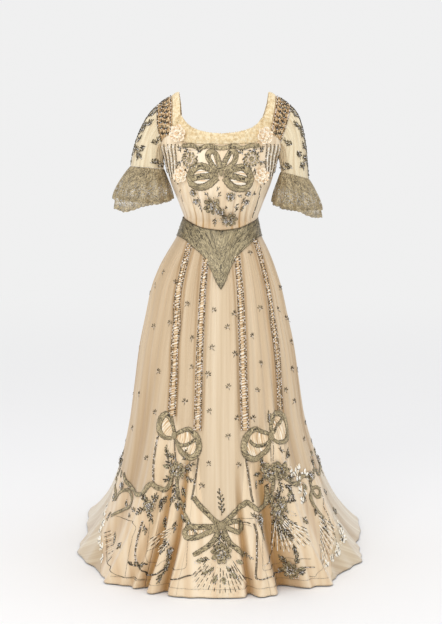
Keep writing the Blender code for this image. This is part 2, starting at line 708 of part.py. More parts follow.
for name, is_front in (("neck_frill_front", True), ("neck_frill_back", False)):
    cloth(name, frill_surface(is_front), 4 * FRILL_PLEATS, FRILL_WIDTH_ROWS, LACE_WALL, "frill")


# What rests on the panels

def trees_of(names):
    """Search trees of these objects' faces."""
    trees = []
    for name in names:
        data = bpy.data.objects[name].data
        verts = [v.co.copy() for v in data.vertices]
        trees.append(BVHTree.FromPolygons(verts, [tuple(p.vertices) for p in data.polygons]))
    return trees


def front_of(trees, x, height):
    """The foremost point at x and a height, with the way out there; a seam's gap is stepped over."""
    for nudge in (0.0, 0.001, 0.004, 0.010, 0.020):
        start = Vector((x - math.copysign(nudge, x), -1.0, height - SHOULDER_HEIGHT - nudge / 2))
        hits = [tree.ray_cast(start, Vector((0, 1, 0)), 2.0) for tree in trees]
        hits = [hit for hit in hits if hit[0] is not None]
        if hits:
            break
    best = min(hits, key=lambda hit: hit[3])
    normal = best[1] if best[1].y < 0 else -best[1]
    return np.array((x, best[0].y, height - SHOULDER_HEIGHT)), np.array(normal)


def grid_at(values, u, v):
    """A value between the points of a small grid, whose rows run with v and columns with u."""
    rows, columns = values.shape[0] - 1, values.shape[1] - 1
    i = min(int(v * rows), rows - 1)
    j = min(int(u * columns), columns - 1)
    p, q = v * rows - i, u * columns - j
    near = values[i, j] * (1 - q) + values[i, j + 1] * q
    far = values[i + 1, j] * (1 - q) + values[i + 1, j + 1] * q
    return near * (1 - p) + far * p


def tape(name, half_width, path, trees):
    """A flat lace tape along a path over the panels, raised where they bulge so that it only rests on them."""
    path = np.array([(x, 0.0, height) for x, height in path])
    count = TAPE_STEPS if len(path) > 5 else 6
    places = np.linspace(0, 1, count + 1)
    middle = along(path, places)
    ahead = along(path, np.minimum(places + 0.02, 1)) - along(path, np.maximum(places - 0.02, 0))
    ahead /= np.linalg.norm(ahead, axis=1, keepdims=True)
    laid, way = np.zeros((count + 1, TAPE_ACROSS + 1, 3)), np.zeros((count + 1, 1, 3))
    for i in range(count + 1):
        for j in range(TAPE_ACROSS + 1):
            beside = half_width * (2 * j / TAPE_ACROSS - 1)
            x = middle[i, 0] - ahead[i, 2] * beside
            laid[i, j], facing = front_of(trees, x, middle[i, 2] + ahead[i, 0] * beside)
            way[i, 0] += facing
    way /= np.linalg.norm(way, axis=-1, keepdims=True)
    raised = np.zeros((count + 1, TAPE_ACROSS + 1, 1))
    for _ in range(TAPE_SETTLING):
        points = laid + raised * way
        more = np.zeros_like(raised)
        for i in range(count * TAPE_PROBES + 1):
            for j in range(TAPE_ACROSS * TAPE_PROBES + 1):
                u, v = j / (TAPE_ACROSS * TAPE_PROBES), i / (count * TAPE_PROBES)
                spot = grid_at(points, u, v)
                sunk = spot[1] - front_of(trees, spot[0], spot[2] + SHOULDER_HEIGHT)[0][1]
                for row in {i // TAPE_PROBES, -(-i // TAPE_PROBES)}:
                    for step in {j // TAPE_PROBES, -(-j // TAPE_PROBES)}:
                        more[row, step] = max(more[row, step], sunk)
        raised += more
    mesh = bmesh.new()
    bmesh.ops.create_grid(mesh, x_segments=TAPE_ACROSS, y_segments=count, size=0.5)
    outer = list(mesh.verts)
    copied = bmesh.ops.extrude_face_region(mesh, geom=list(mesh.faces), use_keep_orig=True)
    inner = [item for item in copied["geom"] if isinstance(item, bmesh.types.BMVert)]
    for verts, stand_off in ((outer, TAPE_LIFT + LACE_WALL), (inner, TAPE_LIFT)):
        for vert in verts:
            i, j = round((vert.co.y + 0.5) * count), round((vert.co.x + 0.5) * TAPE_ACROSS)
            vert.co = laid[i, j] + (raised[i, j] + stand_off) * way[i, 0]
    return finished(name, mesh, "lace")


def rest(mesh, facing, trees, gap):
    """Moves a mesh against the way it faces until its nearest point is that gap away."""
    nearest = 1.0
    for vert in mesh.verts:
        for tree in trees:
            hit = tree.ray_cast(vert.co, -facing, 0.8)
            if hit[0] is not None:
                nearest = min(nearest, hit[3])
    for vert in mesh.verts:
        vert.co -= facing * (nearest - gap)


def knot(name, x, height, half_width, half_height, trees):
    mesh = bmesh.new()
    bmesh.ops.create_uvsphere(mesh, u_segments=8, v_segments=4, radius=1.0)
    for vert in mesh.verts:
        vert.co = Vector((vert.co.x * half_width, -vert.co.z * 0.0035, vert.co.y * half_height))
    facing = Vector((0.9 * x, -0.35, 0.0)).normalized()
    turned = Vector((0, -1, 0)).rotation_difference(facing).to_matrix()
    spot = Vector(front_of(trees, x, height)[0])
    for vert in mesh.verts:
        vert.co = turned @ vert.co + spot + facing * 0.1
    rest(mesh, facing, trees, TRIM_GAP)
    return finished(name, mesh, "lace")


FRONT_PANELS = [row[0] for row in SKIRT_PANELS] + [row[0] for row in INSERTION_BANDS]
FRONT_PANELS += [row[0] for row in BODICE_PANELS] + ["belt_front"]
panel_trees = trees_of(FRONT_PANELS)
for name, half_width, path in TAPES:
    tape(name, half_width, path, panel_trees)
knotted = trees_of(FRONT_PANELS + [row[0] for row in TAPES])
for row in KNOTS:
    knot(*row, knotted)


def rosette(name, x, height, size, trees):
    """A ruffled silk flower: a dished disc with five lobes and a raised heart."""
    mesh = bmesh.new()
    bmesh.ops.create_uvsphere(mesh, u_segments=15, v_segments=5, radius=1.0)
    for vert in mesh.verts:
        turn = math.atan2(vert.co.y, vert.co.x)
        out = math.hypot(vert.co.x, vert.co.y)
        lobes = 1 + 0.10 * math.cos(5 * turn) * out
        heart = 0.16 * math.exp(-(out / 0.3) ** 2) if vert.co.z > 0 else 0
        depth = 0.24 if vert.co.z > 0 else 0.10
        vert.co = Vector((vert.co.x * lobes, vert.co.y * lobes, vert.co.z * depth + heart)) * size
    side = -1 if x < 0 else 1
    facing = Vector((side * 0.45, -1.0, 0.25 if height > 1.2 else 0.0)).normalized()
    turned = facing.to_track_quat("Z", "Y").to_matrix()
    spot = Vector(front_of(trees, x, height)[0])
    for vert in mesh.verts:
        vert.co = turned @ vert.co + spot + facing * 0.1
    rest(mesh, facing, trees, TRIM_GAP)
    return finished(name, mesh, "flower")


under_flowers = trees_of([made.name for made in dress.objects if not made.name.startswith("skirt")])
for row in ROSETTES:
    rosette(*row, under_flowers)

triangles = 0
for made in dress.objects:
    made.data.calc_loop_triangles()
    triangles += len(made.data.loop_triangles)
print("objects", len(dress.objects), "triangles", triangles)
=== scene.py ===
# %% [markdown]
# # An evening dress, dressed piece by piece
# The real dress is ivory silk satin with sheer chiffon over it. Metallic lace tape, sequins and beads are
# sewn on top. Its solids give the shape of each cut piece. Here every piece gets its own thin cloth on that
# shape, and then the trimmings. A fold is built where the eye can see it; a thread is left to the material.

# %% The frame
import math

import bpy
import bmesh
import numpy as np
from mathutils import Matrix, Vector
from mathutils.bvhtree import BVHTree


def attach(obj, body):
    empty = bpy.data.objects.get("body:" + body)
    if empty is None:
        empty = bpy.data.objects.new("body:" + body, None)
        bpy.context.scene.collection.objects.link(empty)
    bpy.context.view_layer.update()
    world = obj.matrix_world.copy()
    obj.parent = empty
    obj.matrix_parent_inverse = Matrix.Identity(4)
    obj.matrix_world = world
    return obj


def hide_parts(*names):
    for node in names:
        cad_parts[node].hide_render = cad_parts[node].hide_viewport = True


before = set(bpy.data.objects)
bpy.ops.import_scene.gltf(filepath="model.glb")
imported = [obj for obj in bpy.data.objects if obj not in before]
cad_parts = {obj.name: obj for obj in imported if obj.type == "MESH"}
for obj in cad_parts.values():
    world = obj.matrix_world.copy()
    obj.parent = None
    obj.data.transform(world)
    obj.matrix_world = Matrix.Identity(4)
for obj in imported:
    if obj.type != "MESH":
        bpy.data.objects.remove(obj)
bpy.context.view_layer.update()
SHOULDER_HEIGHT = 1.36
THREAD = 0.0006

# %% [markdown]
# ## Curves from short tables
# A dressmaker measures a figure ring by ring. The same is done here: short tables give each ring's width and
# depth, and a soft curve runs between them. The curve turns only where the numbers turn, so it never bulges.

# %% Soft curves
def soft(pairs, value):
    """A smooth curve through pairs, flat where the pairs turn."""
    places = np.array([pair[0] for pair in pairs], float)
    values = np.array([pair[1] for pair in pairs], float)
    steps = np.diff(places)
    slopes = np.diff(values) / steps
    tangents = np.zeros(len(places))
    for i in range(1, len(places) - 1):
        if slopes[i - 1] * slopes[i] > 0:
            tangents[i] = 2 / (1 / slopes[i - 1] + 1 / slopes[i])
    tangents[0], tangents[-1] = slopes[0], slopes[-1]
    value = np.clip(value, places[0], places[-1])
    at = np.clip(np.searchsorted(places, value, side="right") - 1, 0, len(steps) - 1)
    step = steps[at]
    t = (value - places[at]) / step
    start = (1 + 2 * t) * (1 - t) ** 2 * values[at] + t * (1 - t) ** 2 * step * tangents[at]
    end = t * t * (3 - 2 * t) * values[at + 1] + t * t * (t - 1) * step * tangents[at + 1]
    return start + end


def ease(value, low, high):
    """0 below low, 1 above high, smooth between."""
    t = np.clip((value - low) / (high - low), 0, 1)
    return t * t * (3 - 2 * t)


def column(rows, names, wanted, height):
    """One named column of a table of rings, read at these heights."""
    place = names.index(wanted)
    return soft(sorted((row[0], row[place]) for row in rows), height)


def along(points, place):
    """A soft curve through points, place running from 0 to 1."""
    points = np.asarray(points, float)
    place = np.clip(place, 0, 1) * (len(points) - 1)
    first = np.clip(np.floor(place).astype(int), 0, len(points) - 2)
    t = (place - first)[..., None]
    before = points[np.clip(first - 1, 0, None)]
    after = points[np.clip(first + 2, None, len(points) - 1)]
    here, there = points[first], points[first + 1]
    leave, arrive = (there - before) / 2, (after - here) / 2
    start = (1 + 2 * t) * (1 - t) ** 2 * here + t * (1 - t) ** 2 * leave
    return start + t * t * (3 - 2 * t) * there + t * t * (t - 1) * arrive


def ring(bearing, right, left, front, back, widest, front_square, back_square):
    """A point of a rounded ring, with the horizontal way out there."""
    s, c = np.sin(bearing), np.cos(bearing)
    square = np.where(c > 0, front_square, back_square)
    side = np.where(s < 0, right, left)
    depth = np.where(c > 0, front + widest, back - widest)
    x = side * np.sign(s) * np.abs(s) ** (2 / square)
    y = widest - depth * np.sign(c) * np.abs(c) ** (2 / square)
    out = np.stack([s * depth, -c * side], -1)
    out /= np.linalg.norm(out, axis=-1, keepdims=True)
    return x, y, out


def crimp(place, seed, count, low, high):
    """Uneven waves along a line: a few sines whose number per unit and phase differ."""
    random = np.random.default_rng(seed)
    total = np.zeros_like(np.asarray(place, float))
    for _ in range(count):
        total += np.sin(2 * math.pi * (random.uniform(low, high) * place + random.uniform()))
    return total / math.sqrt(count)


# %% [markdown]
# ## From a surface to cloth
# A sheet is a grid of points on a surface. It gets a thickness of half a millimetre, as real cloth has, and
# a UV map in metres, so that a weave or a lace pattern keeps its true size. The flat size that each sheet
# was cut to is read from the grid itself, with all its folds opened out.

# %% A sheet of cloth
def soften_edges(piece):
    piece.data.polygons.foreach_set("use_smooth", [True] * len(piece.data.polygons))


def put_in_scene(name, points, faces, finish, uv=None):
    """A mesh object from points and faces, with its material and, if given, one UV per point."""
    mesh = bpy.data.meshes.new(name)
    mesh.from_pydata([tuple(p) for p in points], [], [tuple(f) for f in faces])
    mesh.update()
    made = bpy.data.objects.new(name, mesh)
    bpy.context.scene.collection.objects.link(made)
    mesh.materials.append(finish)
    if uv is not None:
        layer = mesh.uv_layers.new(name="UVMap")
        loops = np.empty(len(mesh.loops), np.int32)
        mesh.loops.foreach_get("vertex_index", loops)
        layer.data.foreach_set("uv", np.asarray(uv, np.float32)[loops].ravel())
    soften_edges(made)
    return made


def lengths(points):
    """How far along the grid each point lies, in metres, by row and by column."""
    over = np.linalg.norm(np.diff(points, axis=1), axis=-1)
    down = np.linalg.norm(np.diff(points, axis=0), axis=-1)
    across = np.concatenate([np.zeros((len(points), 1)), np.cumsum(over, axis=1)], axis=1)
    downwards = np.concatenate([np.zeros((1, points.shape[1])), np.cumsum(down, axis=0)], axis=0)
    return across, downwards


def sheet(name, surface, columns, rows, finish, turned=False, closed=False, wall=THREAD, tone=None):
    """Cloth on a surface that takes u and v from 0 to 1 and gives heights above the floor."""
    u, v = np.meshgrid(np.linspace(0, 1, columns + 1), np.linspace(0, 1, rows + 1))
    grid = surface(u, v)
    tones = None if tone is None else tone(u, v, grid)
    grid = grid - np.array([0, 0, SHOULDER_HEIGHT])
    across, downwards = lengths(grid)
    middle = across - across[:, columns // 2:columns // 2 + 1]
    uv = np.stack([middle, downwards], -1)
    kept = columns if closed else columns + 1
    index = np.arange((rows + 1) * kept).reshape(rows + 1, kept)
    right = np.roll(index, -1, axis=1) if closed else index
    left_part = index if closed else index[:, :-1]
    right_part = right if closed else index[:, 1:]
    corners = [left_part[:-1], right_part[:-1], right_part[1:], left_part[1:]]
    faces = np.stack(corners[::-1] if turned else corners, -1).reshape(-1, 4)
    made = put_in_scene(name, grid[:, :kept].reshape(-1, 3), faces, finish, uv[:, :kept].reshape(-1, 2))
    if tones is not None:
        layer = made.data.color_attributes.new("tone", "FLOAT_COLOR", "POINT")
        full = np.concatenate([tones, np.ones(tones.shape[:2] + (1,))], -1)[:, :kept].reshape(-1, 4)
        layer.data.foreach_set("color", full.astype(np.float32).ravel())
    area = sum(face.area for face in made.data.polygons)
    if wall:
        thicken(made, wall)
    made["cut"] = (float(across[:, -1].max()), float(downwards[-1].max()), float(area))
    return made


def thicken(piece, wall):
    """Gives a sheet its thickness, on the inner side."""
    solidify = piece.modifiers.new("thickness", "SOLIDIFY")
    solidify.thickness = wall
    solidify.offset = -1.0
    bpy.context.view_layer.objects.active = piece
    bpy.ops.object.select_all(action="DESELECT")
    piece.select_set(True)
    bpy.ops.object.modifier_apply(modifier="thickness")


def declare(piece, nodes=(), cut=None):
    """Says what a sheet is: what it rides on, what it stands for and the size that it was cut to."""
    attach(piece, "root")
    if nodes:
        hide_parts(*nodes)
    width, length, area = cut or piece["cut"]
    width, length = max(width, 0.0101), max(length, 0.0101)
    area = min(max(area, 0.301 * width * length), width * length)
    print(f"{piece.name}: cut {width:.3f} x {length:.3f} m, {area:.4f} m2, {len(piece.data.polygons)} faces")


def trim(piece, nodes=()):
    """Says what a trimming is, such as beads or leaves."""
    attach(piece, "root")
    if nodes:
        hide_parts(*nodes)
    print(f"{piece.name}: {len(piece.data.polygons)} faces")


# %% [markdown]
# ## Finishes
# Each finish is one Principled shader. A small helper adds a node and fills its sockets, so that a recipe
# reads from top to bottom. Values that are the same all over go straight onto the shader's own socket.

# %% Helpers for materials
class Recipe:
    """Builds one material node by node."""

    def __init__(self, name, **values):
        self.material = bpy.data.materials.new(name)
        self.material.use_nodes = True
        self.tree = self.material.node_tree
        self.shader = self.tree.nodes["Principled BSDF"]
        for socket, value in values.items():
            self.shader.inputs[socket.replace("_", " ").title().replace("Ior", "IOR")].default_value = value

    def add(self, kind, settings=(), **inputs):
        made = self.tree.nodes.new("ShaderNode" + kind)
        for key, value in dict(settings).items():
            setattr(made, key, value)
        for key, value in inputs.items():
            socket = made.inputs[int(key[1:])] if key[0] == "_" else made.inputs[key]
            if isinstance(value, bpy.types.NodeSocket):
                self.tree.links.new(value, socket)
            else:
                socket.default_value = value
        return made

    def uv(self, scale):
        coordinates = self.add("TexCoord").outputs["UV"]
        return self.add("Mapping", Vector=coordinates, Scale=scale).outputs["Vector"]

    def noise(self, where, scale, detail=2.0, roughness=0.5, distortion=0.0):
        return self.add("TexNoise", Vector=where, Scale=scale, Detail=detail, Roughness=roughness,
                        Distortion=distortion).outputs["Fac"]

    def ramp(self, value, stops):
        made = self.add("ValToRGB", Fac=value)
        points = made.color_ramp.elements
        while len(points) < len(stops):
            points.new(0.5)
        for point, (place, colour) in zip(points, stops):
            point.position = place
            point.color = (*colour, 1.0) if len(colour) == 3 else colour
        return made.outputs["Color"]

    def mix(self, factor, first, second, blend="MIX"):
        made = self.add("Mix", {"data_type": "RGBA", "blend_type": blend})
        for socket, value in (("Factor", factor), ("A", first), ("B", second)):
            target = next(s for s in made.inputs if s.name == socket and s.enabled)
            if isinstance(value, bpy.types.NodeSocket):
                self.tree.links.new(value, target)
            else:
                target.default_value = value if isinstance(value, float) else (*value, 1.0)
        return next(s for s in made.outputs if s.enabled)

    def math(self, operation, *values, clamp=False):
        made = self.add("Math", {"operation": operation, "use_clamp": clamp})
        for socket, value in zip(made.inputs, values):
            if isinstance(value, bpy.types.NodeSocket):
                self.tree.links.new(value, socket)
            else:
                socket.default_value = value
        return made.outputs[0]

    def to(self, socket, value):
        self.tree.links.new(value, self.shader.inputs[socket])

    def bump(self, height, strength, distance):
        made = self.add("Bump", Height=height, Strength=strength, Distance=distance)
        self.to("Normal", made.outputs["Normal"])


# %% [markdown]
# ### Satin and chiffon
# Chiffon hangs over the satin down to the lace garland. It dims the satin and shows as long, pale streaks
# where its threads bunch. Broad vertical bands of painted light and shade stand in for its soft folds, and
# the same bands lie on the satin and the ivory. Below the garland the bare satin is warmer and glossier.
# Each point of the skirt carries a tone: red for chiffon, green for the ivory satin of the train, blue for
# painted shade inside a fold and towards the sides; blue also darkens a thin line beside each insertion band.

# %% Satin and chiffon
CHIFFON = (0.690, 0.545, 0.370)
CHIFFON_DIM = (0.600, 0.455, 0.285)
SATIN = (0.890, 0.725, 0.505)
TRAIN_IVORY = (0.725, 0.610, 0.435)
FOLD_SHADE = (0.51, 0.35, 0.155)


def silk_finish(name):
    recipe = Recipe(name, Roughness=0.5, Sheen_Weight=0.25, Sheen_Roughness=0.5)
    tone = recipe.add("Attribute", {"attribute_name": "tone"}).outputs["Color"]
    parts = recipe.add("SeparateColor", Color=tone)
    streaks = recipe.noise(recipe.uv((170.0, 2.2, 1.0)), 1.0, detail=3.0, roughness=0.6)
    # Broad vertical bands of painted light and shade, standing in for the soft folds of chiffon and satin.
    broad = recipe.noise(recipe.uv((38.0, 1.4, 1.0)), 1.0, detail=2.0)
    sum_of_both = recipe.math("ADD", recipe.math("MULTIPLY", streaks, 0.26), recipe.math("MULTIPLY", broad, 0.76))
    chiffon = recipe.ramp(sum_of_both, ((0.34, CHIFFON_DIM), (0.52, CHIFFON), (0.68, (0.76, 0.63, 0.455))))
    satin = recipe.ramp(broad, ((0.34, (0.80, 0.61, 0.40)), (0.50, SATIN), (0.68, (0.93, 0.79, 0.60))))
    ivory = recipe.ramp(broad, ((0.32, (0.66, 0.53, 0.35)), (0.52, TRAIN_IVORY), (0.70, (0.84, 0.76, 0.60))))
    base = recipe.mix(parts.outputs["Green"], satin, ivory)
    base = recipe.mix(parts.outputs["Red"], base, chiffon)
    base = recipe.mix(parts.outputs["Blue"], base, FOLD_SHADE, "MULTIPLY")
    recipe.to("Base Color", base)
    gloss = recipe.math("ADD", recipe.math("MULTIPLY", parts.outputs["Red"], 0.30), 0.36)
    recipe.to("Roughness", gloss)
    weave = recipe.noise(recipe.uv((900.0, 300.0, 1.0)), 1.0, detail=1.0)
    recipe.bump(weave, 0.15, 0.0004)
    return recipe.material


SILK = silk_finish("silk_satin_and_chiffon")

# %% [markdown]
# ### Metallic lace
# The lace is a net of tarnished gold and olive threads. Close to, small cells and thicker outlines show.
# One recipe makes the lace of tape, belt and flounces; the flounces also let light through their net.

# %% Metallic lace
def lace_finish(name, cell=230.0, see_through=0.0, dark=(0.040, 0.027, 0.011), light=(0.60, 0.485, 0.285)):
    recipe = Recipe(name, Roughness=0.45, Metallic=0.12, Sheen_Weight=0.1)
    where = recipe.uv((1.0, 1.0, 1.0))
    cells = recipe.add("TexVoronoi", {"feature": "DISTANCE_TO_EDGE"}, Vector=where, Scale=cell).outputs["Distance"]
    swirl = recipe.noise(where, cell * 0.42, detail=3.0, roughness=0.75, distortion=2.2)
    broad = recipe.noise(where, 55.0, detail=2.0)
    threads = recipe.math("SUBTRACT", swirl, recipe.math("MULTIPLY", cells, 0.5))
    middle = tuple((a + b) / 2 * 0.66 for a, b in zip(dark, light))
    colour = recipe.ramp(threads, ((0.31, dark), (0.39, middle), (0.49, light)))
    shade = recipe.ramp(broad, ((0.35, (0.70, 0.68, 0.62)), (0.60, (1.0, 1.0, 1.0))))
    tone = recipe.add("Attribute", {"attribute_name": "tone"}).outputs["Color"]
    parts = recipe.add("SeparateColor", Color=tone)
    edged = recipe.mix(parts.outputs["Blue"], recipe.mix(1.0, colour, shade, "MULTIPLY"), (0.22, 0.19, 0.14), "MULTIPLY")
    recipe.to("Base Color", edged)
    recipe.bump(threads, 0.6, 0.0008)
    if see_through:
        open_net = parts.outputs["Red"]
        holes = recipe.math("GREATER_THAN", cells, 0.16)
        opened = recipe.math("MULTIPLY", holes, recipe.math("ADD", recipe.math("MULTIPLY", open_net, 0.7),
                                                            see_through, clamp=True))
        recipe.to("Alpha", recipe.math("SUBTRACT", 1.0, opened, clamp=True))
    return recipe.material


TAPE_LACE = lace_finish("lace_tape")
BELT_LACE = lace_finish("belt_lace", cell=215.0, dark=(0.034, 0.025, 0.010), light=(0.545, 0.450, 0.270))
FLOUNCE_LACE = lace_finish("flounce_lace", cell=260.0, see_through=0.26, dark=(0.085, 0.060, 0.026),
                           light=(0.545, 0.435, 0.255))

# %% [markdown]
# ### Beads, sequins, net and flowers
# Beads come in dark bronze and in silver. Sequin leaves are a dull bronze with a paler side. The frill and
# the flowers are soft silk, which scatters light, so they get a fuzzy sheen and no gloss.

# %% Small finishes
def plain_finish(name, colour, roughness, metallic=0.0, sheen=0.0):
    recipe = Recipe(name, Roughness=roughness, Metallic=metallic, Sheen_Weight=sheen)
    recipe.shader.inputs["Base Color"].default_value = (*colour, 1.0)
    return recipe.material


def speckled_finish(name, stops, scale, roughness, metallic=0.0, sheen=0.0):
    """A finish whose colour changes from place to place, as when two threads are mixed."""
    recipe = Recipe(name, Roughness=roughness, Metallic=metallic, Sheen_Weight=sheen)
    where = recipe.add("TexCoord").outputs["Object"]
    recipe.to("Base Color", recipe.ramp(recipe.noise(where, scale, detail=2.0), stops))
    return recipe.material


BRONZE = speckled_finish("bronze_beads", ((0.36, (0.018, 0.013, 0.008)), (0.62, (0.10, 0.078, 0.050))),
                         260.0, 0.32, 0.55)
SILVER = speckled_finish("silver_beads", ((0.35, (0.50, 0.47, 0.45)), (0.60, (0.95, 0.93, 0.93))),
                         320.0, 0.30, 0.45)
LEAF = speckled_finish("sequin_leaves", ((0.38, (0.030, 0.021, 0.011)), (0.52, (0.12, 0.088, 0.045)),
                                         (0.68, (0.42, 0.35, 0.22))), 230.0, 0.38, 0.2)
OLIVE_LEAF = speckled_finish("olive_leaves", ((0.36, (0.16, 0.12, 0.055)), (0.50, (0.40, 0.33, 0.18)),
                                              (0.66, (0.70, 0.62, 0.43))), 300.0, 0.42, 0.1)
PALE_LEAF = speckled_finish("pale_leaves", ((0.35, (0.70, 0.54, 0.33)), (0.46, (0.92, 0.84, 0.68)),
                                           (0.60, (1.0, 0.98, 0.92))), 190.0, 0.4)
FRILL = speckled_finish("frill_chiffon", ((0.34, (0.68, 0.51, 0.28)), (0.50, (0.80, 0.645, 0.395)),
                                          (0.64, (0.88, 0.755, 0.52))), 120.0, 0.9, 0.0, 0.4)
PETAL = speckled_finish("flower_silk", ((0.34, (0.80, 0.54, 0.31)), (0.44, (0.93, 0.78, 0.56)),
                                        (0.58, (0.99, 0.93, 0.79))), 190.0, 0.8, 0.0, 0.3)
GOLD_GROUND = speckled_finish("gold_ground", ((0.34, (0.24, 0.13, 0.05)), (0.50, (0.52, 0.32, 0.145)),
                                              (0.66, (0.85, 0.68, 0.43))), 210.0, 0.45, 0.1)
CREAM_CORD = speckled_finish("cream_cord", ((0.36, (0.80, 0.62, 0.42)), (0.60, (0.95, 0.83, 0.64))), 150.0, 0.4)


def net_finish(name):
    recipe = Recipe(name, Roughness=0.6, Sheen_Weight=0.3)
    # Streaks of painted light and shade stand in for the small folds of the net.
    folds = recipe.noise(recipe.uv((90.0, 5.0, 1.0)), 1.0, detail=3.0)
    recipe.to("Base Color", recipe.ramp(folds, ((0.35, (0.66, 0.52, 0.32)), (0.60, (0.86, 0.75, 0.53)))))
    mesh = recipe.noise(recipe.uv((700.0, 700.0, 1.0)), 1.0, detail=0.0)
    recipe.to("Alpha", recipe.math("ADD", recipe.math("MULTIPLY", mesh, 0.35), 0.70, clamp=True))
    return recipe.material


NET = net_finish("sleeve_net")
# %% [markdown]
# ## The skirt
# The skirt is seven panels sewn at seams that fan out to the hem. The rings give its line from waist to
# train, and the folds stand out from the rings. Deep folds are in the solids too. The many shallow ones,
# where the cloth breaks between two gathers, are added here by a few uneven waves.

# %% Rings, folds and seams
SKIRT_COLUMNS = (
    "height", "right_side", "left_side", "front", "back", "widest_at", "front_square", "back_square",
)
SKIRT_RINGS = (
    (1.045, 0.107, 0.104, 0.092, 0.088, 0.00, 2.0, 2.0),
    (1.019, 0.106, 0.103, 0.092, 0.088, 0.00, 2.0, 2.0),
    (0.985, 0.123, 0.114, 0.0965, 0.106, 0.00, 2.0, 2.0),
    (0.940, 0.149, 0.135, 0.1110, 0.128, 0.00, 2.0, 2.0),
    (0.890, 0.176, 0.154, 0.1265, 0.150, 0.00, 2.0, 2.0),
    (0.830, 0.199, 0.173, 0.1430, 0.170, 0.00, 2.0, 2.0),
    (0.760, 0.214, 0.188, 0.160, 0.192, 0.00, 2.0, 2.0),
    (0.670, 0.233, 0.207, 0.180, 0.222, 0.00, 2.0, 2.0),
    (0.570, 0.248, 0.222, 0.198, 0.265, 0.01, 2.0, 2.0),
    (0.460, 0.265, 0.239, 0.215, 0.325, 0.03, 2.0, 2.1),
    (0.345, 0.288, 0.270, 0.232, 0.425, 0.08, 2.1, 2.2),
    (0.240, 0.318, 0.309, 0.246, 0.560, 0.15, 2.15, 2.3),
    (0.160, 0.350, 0.345, 0.255, 0.710, 0.22, 2.2, 2.4),
    (0.090, 0.390, 0.387, 0.263, 0.880, 0.30, 2.25, 2.5),
    (0.035, 0.425, 0.424, 0.268, 1.080, 0.38, 2.3, 2.6),
    (0.003, 0.447, 0.447, 0.270, 1.250, 0.43, 2.3, 2.6),
)
WAIST_HEIGHT = 1.019
HIP_TOP = 0.985

# Columns: bearing, half width, depth, height where the fold starts.
FOLDS = (
    (-172, 9, 0.016, 0.95), (-154, 9, -0.016, 0.95), (-137, 9, 0.016, 0.92), (-120, 9, -0.014, 0.88),
    (-103, 9, 0.016, 0.82), (-87, 8, -0.014, 0.78), (-71, 8, 0.014, 0.75), (-56, 7, -0.012, 0.70),
    (-41, 5, 0.026, 0.68), (-33, 3, -0.012, 0.50), (-27, 3.4, -0.036, 0.50), (-22.5, 2.6, 0.008, 0.50),
    (-18.5, 3.0, -0.034, 0.52), (-13, 3.0, 0.008, 0.60), (8.5, 2.4, -0.034, 0.42), (12.5, 2.4, 0.006, 0.45),
    (24, 8.0, -0.075, 0.50), (38.5, 5, 0.022, 0.68), (50, 6, -0.012, 0.66), (64, 8, 0.014, 0.72),
    (80, 8, -0.014, 0.76), (96, 9, 0.016, 0.80), (113, 9, -0.014, 0.84), (130, 9, 0.016, 0.90),
    (147, 9, -0.014, 0.94), (164, 9, 0.016, 0.95),
)
SEAM_HEIGHTS = (1.045, 0.61, 0.24, 0.003)
SKIRT_SEAMS = {
    "back": (-180.0, -180.0, -180.0, -180.0),
    "right_back": (-98.0, -94.0, -84.0, -50.0),
    "right_outer": (-40.0, -32.0, -30.0, -28.0),
    "right_inner": (-15.5, -14.2, -13.5, -13.0),
    "left_inner": (19.0, 16.2, 15.5, 15.0),
    "left_outer": (52.0, 46.8, 41.0, 39.0),
    "left_back": (98.0, 94.0, 82.0, 41.0),
    "back_again": (180.0, 180.0, 180.0, 180.0),
}
TOP_EDGE = ((0, 1.236), (20, 1.237), (34, 1.245), (46, 1.264), (72, 1.243), (90, 1.200),
            (108, 1.243), (134, 1.262), (150, 1.240), (180, 1.232))
BELT_TOP = ((0, 0.998), (25, 1.003), (60, 1.022), (90, 1.034), (180, 1.034))
BELT_LOWER = ((0, 0.836), (4, 0.856), (9, 0.889), (18, 0.926), (32, 0.950), (52, 0.972),
              (75, 0.980), (180, 0.980))


def edge_height(pairs, bearing):
    """A height given by bearing, the same on both sides of the front centre."""
    return soft(pairs, np.abs((np.asarray(bearing, float) + 180) % 360 - 180))


def straight(rows, names, wanted, height):
    """One named column of a table, straight between its rows as on the solids."""
    place = names.index(wanted)
    pairs = np.array(sorted((row[0], row[place]) for row in rows))
    return np.interp(height, pairs[:, 0], pairs[:, 1])


